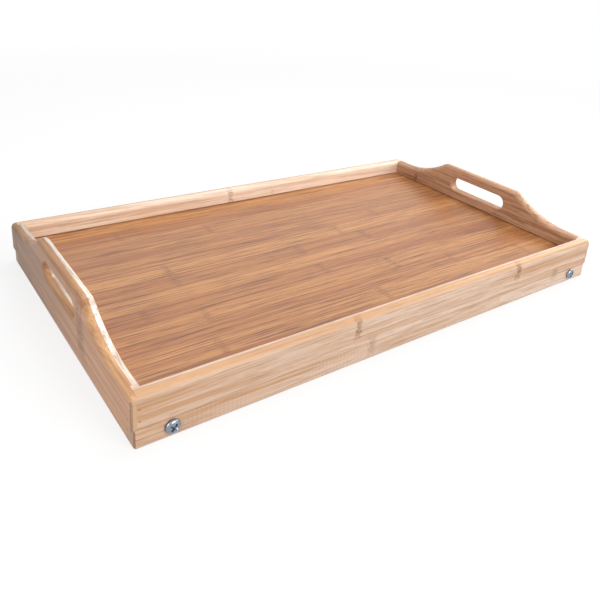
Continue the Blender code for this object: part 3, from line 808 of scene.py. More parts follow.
steel, tree, shader = plain("bright_zinc_plated_steel", "8b939f", 0.2, 1.0)
spangle_size = 0.7
spot = add(tree, "ShaderNodeTexCoord").outputs["Object"]
spot = add(tree, "ShaderNodeVectorMath", {
    0: spot, "Scale": millimetres,
}, operation="SCALE").outputs[0]
spangle = add(tree, "ShaderNodeTexVoronoi", {"Vector": spot, "Scale": 1 / spangle_size})
grey = add(tree, "ShaderNodeSeparateXYZ", {0: spangle.outputs["Color"]}).outputs[0]
rough = add(tree, "ShaderNodeMapRange", {
    "Value": grey, "To Min": 0.16, "To Max": 0.28,
}).outputs[0]
plug(tree, shader, {"Roughness": rough})

nylon, tree, shader = plain("moulded_nylon", "dfe3ea", 0.45)
plug(tree, shader, {"Subsurface Weight": 0.2, "Subsurface Radius": (0.001, 0.001, 0.001)})

filler, tree, shader = plain("dried_wood_filler", "a8785a", 0.8)
spot = add(tree, "ShaderNodeTexCoord").outputs["Object"]
grit = add(tree, "ShaderNodeTexNoise", {
    "Vector": spot, "Scale": 3000.0, "Detail": 2.0,
}).outputs["Fac"]
relief = add(tree, "ShaderNodeBump", {"Strength": 0.3, "Distance": 0.0001, "Height": grit})
plug(tree, shader, {"Normal": relief.outputs[0]})
print("metal and fillings:", steel.name, nylon.name, filler.name)

# %% [markdown]
# Tools for making shapes
#
# The boards are made the way a joiner makes them: sawn to an outline, rounded along their
# edges with a router, and then grooved and drilled. An outline becomes a prism, a weighted
# bevel is the router, and exact booleans do the cutting. Each finished shape is turned into
# a plain mesh, and weighted normals keep the flat faces flat beside their round edges.

# %% Shape tools
same_point = joint_gap / 100
flat_angle = math.radians(0.2)
overrun = 0.002
quarter = math.pi / 2


def arc(centre, radius, start, end, steps):
    """Points of a circle's arc, from the start angle to the end angle."""
    angles = [start + (end - start) * step / steps for step in range(steps + 1)]
    return [(centre[0] + radius * math.cos(a), centre[1] + radius * math.sin(a)) for a in angles]


def stadium(centre, length, height, steps):
    """A slot's outline with round ends."""
    radius = height / 2
    offset = length / 2 - radius
    right_end = arc((centre[0] + offset, centre[1]), radius, -quarter, quarter, steps)
    left_end = arc((centre[0] - offset, centre[1]), radius, quarter, 3 * quarter, steps)
    return right_end + left_end


def circle(radius, height, steps):
    """A level ring of points round the Z axis."""
    last = 4 * quarter * (1 - 1 / steps)
    return [(x, y, height) for x, y in arc((0, 0), radius, 0, last, steps - 1)]


def skin(name, rings, bored=False):
    """A solid skinned over rings of points: its two ends are closed, or joined round a bore."""
    shape = bmesh.new()
    rows = [[shape.verts.new(point) for point in ring] for ring in rings]
    for row, following in zip(rows, rows[1:] + rows[:1] if bored else rows[1:]):
        for index in range(len(row)):
            shape.faces.new((row[index - 1], row[index], following[index], following[index - 1]))
    if not bored:
        shape.faces.new(rows[0])
        shape.faces.new(rows[-1])
    bmesh.ops.recalc_face_normals(shape, faces=shape.faces)
    mesh = bpy.data.meshes.new(name)
    shape.to_mesh(mesh)
    shape.free()
    return linked(name, mesh)


def turned(name, profile, steps=32, bored=False):
    """A profile of (radius, height) points turned round the Z axis, as on a lathe."""
    return skin(name, [circle(radius, height, steps) for radius, height in profile], bored)


def prism(name, outline, low, high, along):
    """An outline drawn square to one axis, and run along that axis from low to high."""
    rings = {
        "X": [[(w, u, v) for u, v in outline] for w in (low, high)],
        "Y": [[(u, w, v) for u, v in outline] for w in (low, high)],
        "Z": [[(u, v, w) for u, v in outline] for w in (low, high)],
    }
    return skin(name, rings[along])


def block(name, low, high):
    """A square block between two corners."""
    outline = [(low[0], low[1]), (high[0], low[1]), (high[0], high[1]), (low[0], high[1])]
    return prism(name, outline, low[2], high[2], "Z")


def swung(piece, angle, axis):
    """The piece, with its points turned about an axis and its origin left alone."""
    piece.data.transform(Matrix.Rotation(angle, 4, axis))
    return piece


def moved(piece, *place):
    """The piece, with its points moved and its origin left alone."""
    piece.data.transform(Matrix.Translation(place))
    return piece


def rod(name, radius, low, high, steps=32):
    """A round rod along Y."""
    return swung(turned(name, [(radius, low), (radius, high)], steps), -quarter, "X")


def drop(*pieces):
    """Delete pieces that have done their work."""
    for piece in pieces:
        bpy.data.objects.remove(piece, do_unlink=True)


def settle(piece):
    """Turn the piece and its modifiers into a plain mesh."""
    scene_now = bpy.context.evaluated_depsgraph_get()
    mesh = bpy.data.meshes.new_from_object(piece.evaluated_get(scene_now))
    piece.modifiers.clear()
    piece.data = mesh
    return piece


def cut(piece, tools, operation="DIFFERENCE"):
    """Cut tools from the piece, or keep what it shares with them, and join up its flats."""
    for tool in tools:
        modifier = piece.modifiers.new(tool.name, "BOOLEAN")
        modifier.operation = operation
        modifier.solver = "EXACT"
        modifier.object = tool
    settle(piece)
    drop(*tools)
    shape = bmesh.new()
    shape.from_mesh(piece.data)
    bmesh.ops.dissolve_degenerate(shape, dist=same_point, edges=shape.edges)
    bmesh.ops.dissolve_limit(shape, angle_limit=flat_angle, verts=shape.verts, edges=shape.edges)
    shape.to_mesh(piece.data)
    shape.free()
    return piece


def round_edges(piece, width, steps, share):
    """Round the edges, each by the share of the width that its two ends are given."""
    shape = bmesh.new()
    shape.from_mesh(piece.data)
    weight = shape.edges.layers.float.new("bevel_weight_edge")
    for edge in shape.edges:
        edge[weight] = share(edge.verts[0].co, edge.verts[1].co)
    shape.to_mesh(piece.data)
    shape.free()
    modifier = piece.modifiers.new("rounded edges", "BEVEL")
    modifier.limit_method = "WEIGHT"
    modifier.width = width
    modifier.segments = steps
    modifier.use_clamp_overlap = False
    return settle(piece)


def half_turn(piece, name):
    """A copy of the piece, turned half round the tray's middle."""
    return swung(linked(name, piece.data.copy()), math.pi, "Z")


def middle_of(node_name):
    """The middle of a node's box."""
    low_corner, high_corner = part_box(node_name)
    return (low_corner + high_corner) / 2


sharp_angle = math.radians(35)
finished = []


def finish_piece(piece, material, body, slot, *nodes):
    """Shade the piece, give it its material, put it on its body and hide the nodes it stands for.
    """
    piece.data.materials.clear()
    piece.data.materials.append(material)
    piece.data.polygons.foreach_set("material_index", [0] * len(piece.data.polygons))
    piece.data.shade_smooth()
    piece.data.set_sharp_from_angle(angle=sharp_angle)
    modifier = piece.modifiers.new("flat faces stay flat", "WEIGHTED_NORMAL")
    modifier.keep_sharp = True
    settle(piece)
    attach(piece, body)
    if nodes:
        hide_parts(*nodes)
    finished.append(piece.name)
    return piece


print("shape tools ready")

# %% [markdown]
# The handle's outline and the hand slot
#
# The top of an end board runs level from the rail, sweeps up in a wide hollow curve, turns
# over a tighter shoulder and is flat where the hand lies. Two arcs that touch do it: their
# radii together follow from how far and how high the edge has to go. The slot is cut with a
# tool that flares at both faces, as a round-over bit leaves it.

# %% Outline and slot
handle_rise = handle_top - rail_top
crest_half = 0.052
crest_radius = 0.012
level_end = 0.026
slot_length, slot_height, slot_round = 0.081, 0.016, 0.002
slot_centre = rail_top + 0.002
sweep_half = half_width - level_end


def handle_curve(shoulder_steps=12, sweep_steps=28):
    """The handle's top edge from its crest down to the rails, as (Y, Z) on the +Y side."""
    reach = sweep_half - crest_half
    radii_sum = (reach**2 + handle_rise**2) / (2 * handle_rise)
    turn = math.asin(reach / radii_sum)
    sweep_radius = radii_sum - crest_radius
    crest_end = (crest_half, handle_top - crest_radius)
    shoulder = arc(crest_end, crest_radius, quarter, quarter - turn, shoulder_steps)
    sweep_centre = (sweep_half, rail_top + sweep_radius)
    sweep = arc(sweep_centre, sweep_radius, 3 * quarter - turn, 3 * quarter, sweep_steps)
    return shoulder + sweep[1:]


def slot_tool(flare_steps=6, end_steps=20):
    """The tool for both hand slots, flared at all four faces."""
    bend = [quarter * step / flare_steps for step in range(flare_steps + 1)]
    flare = [(slot_round * (1 - math.cos(a)), slot_round * (1 - math.sin(a))) for a in bend]
    stations = [(-half_length - overrun, slot_round)]
    stations += [(-half_length + depth, spread) for depth, spread in flare]
    stations += [(-well_half_length - depth, spread) for depth, spread in reversed(flare)]
    stations += [(-x, spread) for x, spread in reversed(stations)]
    rings = []
    for x, spread in stations:
        length, height = slot_length + 2 * spread, slot_height + 2 * spread
        outline = stadium((0, slot_centre), length, height, end_steps)
        rings.append([(x, y, z) for y, z in outline])
    return skin("slot_tool", rings)


print("handle rises", round(handle_rise * millimetres, 1), "mm above the rails")

# %% [markdown]
# The upper frame
#
# The four boards are shaped as one ring, so that the round-over runs on from board to board
# as it does after the frame is glued up, and the ring is then parted where the real joints
# are. An end board laps over the rails' ends by 4 mm and its tongue goes in between them.
# The joints are glued tight, so the gaps left in them are only a few hundredths wide.

# %% Shape the ring
round_over = 0.005
edge_ease = 0.001
end_lap = 0.004
groove_depth = 0.0035
panel_low, panel_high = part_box("tray_panel")


def ring_roundings(first, second):
    """How much of the round-over an edge of the ring gets."""
    level_edge = abs(first.z - second.z) < joint_gap
    same_x = abs(first.x - second.x) < joint_gap
    same_y = abs(first.y - second.y) < joint_gap
    if min(first.z, second.z) > rail_top - joint_gap:
        along_rail = same_y and abs(first.y) > well_half_width - joint_gap
        return 1 if same_x or along_rail else 0
    if same_x and abs(first.x) > half_length - joint_gap:
        if same_y:
            return corner_round / round_over
        if level_edge:
            return edge_ease / round_over
    return 0


side = half_width + overrun
high = handle_top + overrun
above = high + overrun
low = upper_bottom - overrun
ring_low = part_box("back_lower_rail")[1].z + hairline
ring = block("ring", (-half_length, -half_width, ring_low), (half_length, half_width, high))
curve = handle_curve()
over_handles = prism(
    "over_handles",
    [(-y, z) for y, z in reversed(curve)] + curve
    + [(side, rail_top), (side, above), (-side, above), (-side, rail_top)],
    -half_length - overrun, half_length + overrun, "X",
)
well = prism("well", [
    (-well_half_width, low), (well_half_width, low), (well_half_width, rail_top),
    (side, rail_top), (side, above), (-side, above), (-side, rail_top),
    (-well_half_width, rail_top),
], -well_half_length, well_half_length, "X")
cut(ring, [over_handles, well])
round_edges(ring, round_over, 8, ring_roundings)
groove_x = well_half_length + groove_depth
groove_y = well_half_width + groove_depth
groove = block(
    "groove", (-groove_x, -groove_y, panel_low.z - joint_gap),
    (groove_x, groove_y, panel_high.z + 2 * joint_gap),
)
cut(ring, [groove, slot_tool()])
print("ring:", len(ring.data.polygons), "faces")

# %% Part the ring into boards
brad_radius, hole_depth, dot_depth = 0.00065, 0.0246, 0.0005
brad_nodes = [name for name in frame["nodes"] if name.endswith("_brad")]
brad_places = []
for middle in map(middle_of, brad_nodes):
    brad_places.append((middle.x, math.copysign(half_width, middle.y), middle.z))
corners = [(side_x, side_y) for side_x in (-1, 1) for side_y in (-1, 1)]
end_dots = [(side_x * half_length, side_y * 0.144, 0.0212) for side_x, side_y in corners]


def dot_tools():
    """Tools for the brads' holes and for the small dots on the end boards."""
    tools = []
    for place in brad_places:
        tools.append(moved(rod("brad_tool", brad_radius, -hole_depth, hole_depth, 16), *place))
    for place in end_dots:
        tool = rod("end_dot_tool", brad_radius, -dot_depth, dot_depth, 16)
        tools.append(moved(swung(tool, quarter, "Z"), *place))
    return tools


shoulder_x = half_length - end_lap
tongue_y = well_half_width - hairline
inside = well_half_length - overrun
outside = half_length + overrun
board_plan = [
    (-outside, -side), (-shoulder_x, -side), (-shoulder_x, -tongue_y), (-inside, -tongue_y),
    (-inside, tongue_y), (-shoulder_x, tongue_y), (-shoulder_x, side), (-outside, side),
]
cut(ring, dot_tools())
left_board = linked("left_board", ring.data.copy())
back_rail = linked("back_rail", ring.data.copy())
cut(left_board, [prism("board_region", board_plan, low, high, "Z")], "INTERSECT")
rail_end = shoulder_x - hairline
rail_region = block("rail_region", (-rail_end, well_half_width, low), (rail_end, side, high))
cut(back_rail, [rail_region], "INTERSECT")
drop(ring)
right_board = half_turn(left_board, "right_board")
front_rail = half_turn(back_rail, "front_rail")
for piece, material, node in (
    (left_board, end_bamboo, "left_handle_board"),
    (right_board, end_bamboo, "right_handle_board"),
    (back_rail, rail_bamboo, "back_upper_rail"),
    (front_rail, rail_bamboo, "front_upper_rail"),
):
    finish_piece(piece, material, "tray", "natural_bamboo", node)
    print(piece.name, len(piece.data.polygons), "faces")

# %% [markdown]
# The lower frame
#
# Under the rim lies a second frame, a little shorter, with its ends rounded below. Its rails
# carry the pivot bolts, and a strip across each end is what the open legs rest against.

# %% Lower rails and end strips
lower_low, lower_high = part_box("back_lower_rail")
strip_low, strip_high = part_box("left_end_strip")
lower_half_length = lower_high.x
end_round = 0.002
bolt_middle = middle_of("left_back_pivot_bolt")
pivot_x, pivot_height = -bolt_middle.x, bolt_middle.z
hole_radius = 0.0028


def lower_roundings(first, second):
    """How much of the end rounding an edge of a lower rail or end strip gets."""
    at_end = min(abs(first.x), abs(second.x)) > lower_half_length - joint_gap
    at_foot = max(first.z, second.z) < joint_gap
    at_face = min(first.y, second.y) > half_width - joint_gap
    if at_end and at_foot:
        return 1
    if at_end and at_face:
        return corner_round / end_round
    if at_foot and at_face:
        return edge_ease / end_round
    return 0


back_lower = block("back_lower", lower_low, lower_high)
round_edges(back_lower, end_round, 8, lower_roundings)
holes = [rod("bolt_hole", hole_radius, 0, wall + 2 * overrun) for _ in range(2)]
for hole, x in zip(holes, (-pivot_x, pivot_x)):
    moved(hole, x, well_half_width - overrun, pivot_height)
cut(back_lower, holes)
left_strip = block("left_strip", strip_low, strip_high)
round_edges(left_strip, end_round, 8, lower_roundings)
front_lower = half_turn(back_lower, "front_lower")
right_strip = half_turn(left_strip, "right_strip")
for piece, material, node in (
    (back_lower, rail_bamboo, "back_lower_rail"), (front_lower, rail_bamboo, "front_lower_rail"),
    (left_strip, end_bamboo, "left_end_strip"), (right_strip, end_bamboo, "right_end_strip"),
):
    finish_piece(piece, material, "tray", "natural_bamboo", node)
print("lower frame", round(lower_high.z * millimetres, 1), "mm high")

# %% [markdown]
# The panel
#
# The panel floats in a groove of the upper frame, so that it can swell and shrink. Its face
# is thirteen strips, 21.4 mm wide, and its back is faced the same way to keep it flat. That
# is a rule, so Geometry Nodes lays the strips: a carrier mesh has one point for each strip,
# with its tone and its nodes, and the tree puts an eased strip on every point and a core
# between. The tones and nodes of the upper face are the ones that the photograph shows.

# %% A tree that lays strips
strips = new_group("GeometryNodeTree", "veneer_strips", [
    ("Carrier", "Geometry"), ("Length", "Float"), ("Width", "Float"), ("Thickness", "Float"),
    ("Easing", "Float"), ("Core Size", "Vector"), ("Core Centre", "Vector"),
    ("Material", "Material"),
], [("Geometry", "Geometry")])
source = add(strips, "NodeGroupInput").outputs
half = add(strips, "ShaderNodeMath", {
    0: source["Length"], 1: 0.5,
}, operation="MULTIPLY").outputs[0]
minus = add(strips, "ShaderNodeMath", {0: half, 1: -1.0}, operation="MULTIPLY").outputs[0]
start = add(strips, "ShaderNodeCombineXYZ", {0: minus}).outputs[0]
end = add(strips, "ShaderNodeCombineXYZ", {0: half}).outputs[0]
path = add(strips, "GeometryNodeCurvePrimitiveLine", {"Start": start, "End": end}).outputs[0]
upright = add(strips, "GeometryNodeSetCurveNormal", {"Curve": path}, mode="Z_UP").outputs[0]
profile = add(strips, "GeometryNodeCurvePrimitiveQuadrilateral", {
    "Width": source["Width"], "Height": source["Thickness"],
}).outputs[0]
profile = add(strips, "GeometryNodeFilletCurve", {
    "Curve": profile, "Radius": source["Easing"], "Count": 2,
}, mode="POLY").outputs[0]
strip = add(strips, "GeometryNodeCurveToMesh", {
    "Curve": upright, "Profile Curve": profile, "Fill Caps": True,
}).outputs[0]
laid = add(strips, "GeometryNodeInstanceOnPoints", {
    "Points": source["Carrier"], "Instance": strip,
}).outputs[0]
core = add(strips, "GeometryNodeMeshCube", {"Size": source["Core Size"]}).outputs[0]
core = add(strips, "GeometryNodeTransform", {
    "Geometry": core, "Translation": source["Core Centre"],
}).outputs[0]
joined = add(strips, "GeometryNodeJoinGeometry", {0: laid})
strips.links.new(core, joined.inputs[0])
real = add(strips, "GeometryNodeRealizeInstances", {"Geometry": joined.outputs[0]}).outputs[0]
faced = add(strips, "GeometryNodeSetMaterial", {
    "Geometry": real, "Material": source["Material"],
}).outputs[0]
add(strips, "NodeGroupOutput", {0: faced})
print("strip tree with", len(strips.nodes), "nodes")

# %% Carriers, and how a tree is run
def carrier(name, points, attributes):
    """A mesh of loose points, with attributes as {name: (kind, values)}."""
    mesh = bpy.data.meshes.new(name)
    mesh.from_pydata(points, [], [])
    for attribute_name, (kind, values) in attributes.items():
        attribute = mesh.attributes.new(attribute_name, kind, "POINT")
        key = "value" if kind == "FLOAT" else "vector"
        for item, value in zip(attribute.data, values):
            setattr(item, key, value)
    return linked(name, mesh)


def grow(piece, tree, values):
    """Run a geometry tree on the carrier and keep what it makes as a plain mesh."""
    modifier = piece.modifiers.new(tree.name, "NODES")
    modifier.node_group = tree
    for socket in tree.interface.items_tree:
        if socket.in_out == "INPUT" and socket.name in values:
            modifier[socket.identifier] = values[socket.name]
    return settle(piece)


strip_width, strip_gap = 0.0214, 0.00008
veneer_thickness = 0.0006
none = -2000
left_end = -well_half_length * millimetres
seen_strips = [
    (0.25, ()), (0.72, (76,)), (0.48, (163,)), (0.62, ()), (0.55, (353,)), (0.25, (89, 284)),
    (0.72, (87, 220, 304)), (0.30, ()), (0.85, (43, 217, 417)), (0.28, (85, 285)),
    (0.65, (348,)), (0.30, (75, 238, 433)), (0.68, (190,)),
]
points, tones, nodes = [], [], []
for face_z, listed, moved_by in (
    (panel_high.z - veneer_thickness / 2, seen_strips, 0),
    (panel_low.z + veneer_thickness / 2, seen_strips[5:] + seen_strips[:5], 61),
):
    for index, (tone, marks) in enumerate(listed):
        points.append((0, (6 - index) * strip_width, face_z))
        tones.append(tone)
        marks = [left_end + place + moved_by for place in marks]
        nodes.append(tuple((marks + [none] * 3)[:3]))
panel = carrier("panel", points, {
    "strip_tone": ("FLOAT", tones), "strip_nodes": ("FLOAT_VECTOR", nodes),
})
panel_size = panel_high - panel_low
grow(panel, strips, {
    "Length": panel_size.x, "Width": strip_width - strip_gap, "Thickness": veneer_thickness,
    "Easing": 0.0001, "Material": panel_bamboo,
    "Core Size": (panel_size.x, panel_size.y, panel_size.z - 2 * veneer_thickness),
    "Core Centre": (0, 0, (panel_low.z + panel_high.z) / 2),
})
finish_piece(panel, panel_bamboo, "tray", "carbonised_bamboo", "tray_panel")
print("panel:", len(panel.data.polygons), "faces", [round(v, 4) for v in panel.dimensions])

# %% [markdown]
# The leg frames
#
# Each pair of legs is joined by a crossbar and swings on its two bolts. A leg is round at
# the pivot, and its foot is cut at the angle at which it stands when it is open. The frames
# lie side by side under the panel, feet to feet.

# %% Legs and crossbars
leg_low, leg_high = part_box("left_back_leg")
bar_low, bar_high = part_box("left_crossbar")
leg_half = (leg_high.z - leg_low.z) / 2
leg_reach = leg_high.x + pivot_x
leg_joint = next(one for one in frame["joints"] if one["name"] == "left_leg_fold")
splay = math.radians(leg_joint["range_deg"][1] - 90)
leg_ease = 0.0015
screw_radius, screw_head_radius, screw_length = 0.00175, 0.0035, 0.030
screw_cone = screw_head_radius - screw_radius
screw_names = [name for name in frame["nodes"] if "_screw_" in name]
screw_places = []
for name in screw_names:
    middle = middle_of(name)
    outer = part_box(name)[1 if middle.y > 0 else 0].y
    screw_places.append((middle.x, outer + math.copysign(joint_gap, outer), middle.z))


def screw_tools():
    """Tools for the screw holes at the left end, countersunk at the legs' outer faces."""
    shank, head = screw_radius + joint_gap, screw_head_radius + joint_gap
    profile = [
        (shank, -screw_length - joint_gap), (shank, -joint_gap - screw_cone),
        (head, -joint_gap), (head, overrun),
    ]
    tools = []
    for place in screw_places:
        if place[0] < 0:
            tool = turned("screw_tool", profile, 24)
            tools.append(moved(swung(tool, -math.copysign(quarter, place[1]), "X"), *place))
    return tools


foot_drop = leg_reach * math.cos(splay) - leg_half * math.sin(splay)
far_edge = (foot_drop - leg_half * math.sin(splay)) / math.cos(splay)
leg_outline = arc((0, 0), leg_half, quarter, 3 * quarter, 28)
leg_outline += [(leg_reach, -leg_half), (far_edge, leg_half)]
leg_outline = [(x - pivot_x, z + pivot_height) for x, z in leg_outline]
legs = []
for name, low_y, high_y in (
    ("left_back", leg_low.y, leg_high.y), ("left_front", -leg_high.y, -leg_low.y),
):
    leg = prism(f"{name}_leg_wood", leg_outline, low_y, high_y, "Y")
    round_edges(leg, leg_ease, 5, lambda a, b: 1 if abs(a.y - b.y) < joint_gap else 0)
    hole = rod("pivot_tool", hole_radius, -0.02, 0.02)
    moved(hole, -pivot_x, (low_y + high_y) / 2, pivot_height)
    cut(leg, [hole] + screw_tools())
    legs.append(leg)
bar = block("left_bar", bar_low, bar_high)
bar_length = bar_high.y - bar_low.y
round_edges(bar, edge_ease, 4, lambda a, b: 1 if abs(a.y - b.y) > bar_length / 2 else 0)
cut(bar, screw_tools())


def strip_facts(piece, tone, nodes):
    """Give a whole piece the tone and nodes that its material reads."""
    count = len(piece.data.vertices)
    for name, kind, key, value in (
        ("strip_tone", "FLOAT", "value", [tone]),
        ("strip_nodes", "FLOAT_VECTOR", "vector", nodes),
    ):
        attribute = piece.data.attributes.new(name, kind, "POINT")
        attribute.data.foreach_set(key, list(value) * count)


front_right = half_turn(legs[0], "right_front_leg_wood")
back_right = half_turn(legs[1], "right_back_leg_wood")
members = [
    (legs[0], leg_bamboo, "left", "left_back_leg", 0.35, (-150, none, none)),
    (legs[1], leg_bamboo, "left", "left_front_leg", 0.55, (-60, none, none)),
    (front_right, leg_bamboo, "right", "right_front_leg", 0.5, (52, 190, none)),
    (back_right, leg_bamboo, "right", "right_back_leg", 0.3, (121, none, none)),
    (bar, bar_bamboo, "left", "left_crossbar", 0.45, (-84, 71, none)),
    (half_turn(bar, "right_bar"), bar_bamboo, "right", "right_crossbar", 0.3, (23, none, none)),
]
for piece, material, side_name, node, tone, nodes in members:
    strip_facts(piece, tone, nodes)
    finish_piece(piece, material, f"{side_name}_leg_frame", "natural_bamboo", node)
print("leg frames:", len(members), "pieces")

# %% [markdown]
# Bolts, washers, nuts and screws
#
# The same few parts come back many times, so each is shaped once and a second tree sets it
# on every point of a carrier, turned as the point's attribute says. The bolt is a pan head
# with a tapered cross recess and a thread at its inner end. The lock nut's collar holds the
# nylon ring that keeps it from working loose, and washers lie on both sides of the leg.

# %% A tree that sets out copies
copies = new_group("GeometryNodeTree", "copies_on_points", [
    ("Carrier", "Geometry"), ("Shape", "Object"), ("Material", "Material"),
], [("Geometry", "Geometry")])
source = add(copies, "NodeGroupInput").outputs
shape_node = add(copies, "GeometryNodeObjectInfo", {
    "Object": source["Shape"], "As Instance": True,
})
turn = add(copies, "GeometryNodeInputNamedAttribute", {
    "Name": "turn",
}, data_type="FLOAT_VECTOR").outputs[0]
turn = add(copies, "FunctionNodeEulerToRotation", {0: turn}).outputs[0]
placed = add(copies, "GeometryNodeInstanceOnPoints", {
    "Points": source["Carrier"], "Instance": shape_node.outputs["Geometry"], "Rotation": turn,
}).outputs[0]
real = add(copies, "GeometryNodeRealizeInstances", {"Geometry": placed}).outputs[0]
coated = add(copies, "GeometryNodeSetMaterial", {
    "Geometry": real, "Material": source["Material"],
}).outputs[0]
add(copies, "NodeGroupOutput", {0: coated})


def repeat(name, shape, places, material, body, slot, nodes, spin=0.0):
    """Copies of a shape that was made along Z, now along Y and outwards, as one piece."""
    turns = [
        (-math.copysign(quarter, place[1]), spin * (index + 1), 0)
        for index, place in enumerate(places)
    ]
    piece = carrier(name, places, {"turn": ("FLOAT_VECTOR", turns)})
    grow(piece, copies, {"Shape": shape, "Material": material})
    finish_piece(piece, material, body, slot, *nodes)
    print(name, len(piece.data.polygons), "faces")


print("copy tree with", len(copies.nodes), "nodes")

# %% Shape the bolt
def cross_recess(piece, top, width, blade, depth):
    """Cut a tapered cross recess into a head whose top is at this height."""
    taper = 0.55
    tools = []
    for long_x, long_y in ((width, blade), (blade, width)):
        rings = []
        for z, share in ((top - depth, taper), (top + overrun, 1 + (1 - taper) * overrun / depth)):
            x = max(long_x * share, blade * 0.8) / 2 if long_x > long_y else long_x / 2
            y = max(long_y * share, blade * 0.8) / 2 if long_y > long_x else long_y / 2
            rings.append([(-x, -y, z), (x, -y, z), (x, y, z), (-x, y, z)])
        tools.append(skin("recess_tool", rings))
    return cut(piece, tools)


bolt_radius = 0.0025
thread_pitch, thread_depth, thread_length = 0.0008, 0.0004, 0.008
steps, rows_per_turn = 24, 8
bolt_low, bolt_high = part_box("left_back_pivot_bolt")
head_radius = (bolt_high.x - bolt_low.x) / 2
head_top = bolt_high.y - half_width
head_edge, edge_round = 0.0006, 0.0003
dome_rows, fullness = 11, 0.8
tip = bolt_low.y - half_width

rings = [circle(bolt_radius - 2 * thread_depth, tip, steps)]
rows = int(thread_length / thread_pitch * rows_per_turn)
for row in range(rows + 1):
    z = tip + thread_depth + thread_length * row / rows
    ring = []
    for index in range(steps):
        angle = 2 * math.pi * index / steps
        phase = (z / thread_pitch - angle / (2 * math.pi)) % 1
        radius = bolt_radius - thread_depth * abs(2 * phase - 1) ** 0.8
        ring.append((radius * math.cos(angle), radius * math.sin(angle), z))
    rings.append(ring)
for radius, z in (
    (bolt_radius, tip + thread_length + 2 * thread_depth), (bolt_radius, joint_gap),
    (head_radius - edge_round, joint_gap), (head_radius, joint_gap + edge_round),
):
    rings.append(circle(radius, z, steps))
dome_height = head_top - joint_gap - head_edge
for step in range(dome_rows):
    angle = quarter * step / dome_rows
    radius = head_radius * math.cos(angle) ** fullness
    z = joint_gap + head_edge + dome_height * math.sin(angle) ** fullness
    rings.append(circle(radius, z, steps))
rings.append(circle(head_radius * 0.04, head_top, steps))
bolt = skin("bolt_shape", rings)
cross_recess(bolt, head_top, width=0.0066, blade=0.0014, depth=0.0020)
print("bolt:", len(bolt.data.polygons), "faces")

# %% Shape the washer, the lock nut, its ring and the screw
washer_low, washer_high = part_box("left_back_spacer_washer")
washer_radius = (washer_high.x - washer_low.x) / 2
washer_thickness = washer_high.y - washer_low.y
washer_ease = 0.0002
washer = turned("washer_shape", [
    (hole_radius, 0), (washer_radius - washer_ease, 0), (washer_radius, -washer_ease),
    (washer_radius, washer_ease - washer_thickness),
    (washer_radius - washer_ease, -washer_thickness), (hole_radius, -washer_thickness),
], 32, bored=True)

nut_low, nut_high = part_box("left_back_lock_nut")
across_flats = min(nut_high.x - nut_low.x, nut_high.z - nut_low.z)
corner = across_flats / 2 / math.cos(math.pi / 6)
flat = across_flats / 2 * 0.96
nut_height, nut_length, nut_chamfer = 0.0038, nut_high.y - nut_low.y, 0.0004
collar_radius = 0.0037
seat_radius, seat_depth = 0.00315, 0.0014
nut = prism("nut_shape", arc((0, 0), corner, 0, math.pi * 5 / 3, 5), -nut_height, 0, "Z")
chamfer = turned("chamfer_tool", [
    (flat, -nut_height), (corner, nut_chamfer - nut_height), (corner, -nut_chamfer), (flat, 0),
], 48)
cut(nut, [chamfer], "INTERSECT")
collar = turned("collar_tool", [
    (collar_radius, -nut_height / 2), (collar_radius, 0.0005 - nut_length),
    (collar_radius - 0.00015, 0.0002 - nut_length), (collar_radius - 0.0004, -nut_length),
], 32)
cut(nut, [collar], "UNION")
bore = turned("bore_tool", [
    (seat_radius, -nut_length - overrun), (seat_radius, seat_depth - nut_length),
    (hole_radius, seat_depth - nut_length), (hole_radius, overrun),
], 32)
cut(nut, [bore])
insert_bore, insert_radius = 0.00255, seat_radius - 0.00005
insert_back, insert_front = 0.0001 - nut_length, 0.0013 - nut_length
insert = turned("insert_shape", [
    (insert_bore, insert_back), (insert_radius, insert_back),
    (insert_radius, insert_front), (insert_bore, insert_front),
], 32, bored=True)

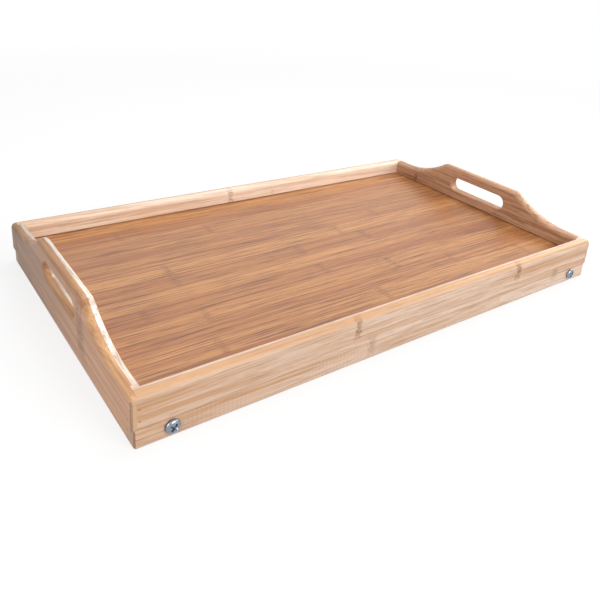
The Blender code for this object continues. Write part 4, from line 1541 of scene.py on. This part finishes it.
screw = turned("screw_shape", [
    (0.0001, -screw_length + joint_gap), (screw_radius * 0.8, -screw_length + 0.003),
    (screw_radius, -screw_length + 0.005), (screw_radius, -joint_gap - screw_cone),
    (screw_head_radius - 0.0001, -joint_gap - 0.00015),
    (screw_head_radius - 0.00015, -joint_gap),
], 24)
cross_recess(screw, -joint_gap, width=0.0036, blade=0.0008, depth=0.0013)
dot_radius = brad_radius - 0.00003
dot = turned("dot_shape", [
    (dot_radius, -0.00025), (dot_radius, -0.00012), (brad_radius * 0.7, -0.00006),
], 16)
brad = turned("brad_shape", [
    (0.0006, -0.024), (0.0006, -0.0001 - joint_gap), (0.0005, -joint_gap),
], 12)
print("nut:", len(nut.data.polygons), "faces, screw:", len(screw.data.polygons), "faces")

# %% Set them out
def pivot_places(distance):
    """A point on every pivot's axis, this far from the tray's middle."""
    return [(side_x * pivot_x, side_y * distance, pivot_height) for side_x, side_y in corners]


def nodes_of(kind):
    """All nodes of a kind."""
    return [name for name in frame["nodes"] if name.endswith(kind)]


inner_washer_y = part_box("left_back_inner_washer")[1].y
washer_places = pivot_places(washer_high.y) + pivot_places(inner_washer_y)
nut_places = pivot_places(nut_high.y)
zinc = "zinc_plated_steel"
for name, shape, places, material, slot, nodes, spin in (
    ("pivot_bolts", bolt, pivot_places(half_width), steel, zinc, nodes_of("_pivot_bolt"), 0.7),
    ("leg_washers", washer, washer_places, steel, zinc, nodes_of("_washer"), 0.0),
    ("lock_nuts", nut, nut_places, steel, zinc, nodes_of("_lock_nut"), 0.0),
    ("lock_nut_inserts", insert, nut_places, nylon, zinc, [], 0.0),
    ("corner_brads", brad, brad_places, steel, zinc, brad_nodes, 0.0),
    ("filler_dots", dot, brad_places, filler, "natural_bamboo", [], 0.0),
):
    repeat(name, shape, places, material, "tray", slot, nodes, spin)
for side_name, sign in (("left", -1), ("right", 1)):
    places = [place for place in screw_places if place[0] * sign > 0]
    names = [name for name in screw_names if name.startswith(side_name)]
    body = f"{side_name}_leg_frame"
    repeat(f"{side_name}_screws", screw, places, steel, body, zinc, names, 0.9)
drop(bolt, washer, nut, insert, screw, dot, brad)
print(len(finished), "pieces in all")
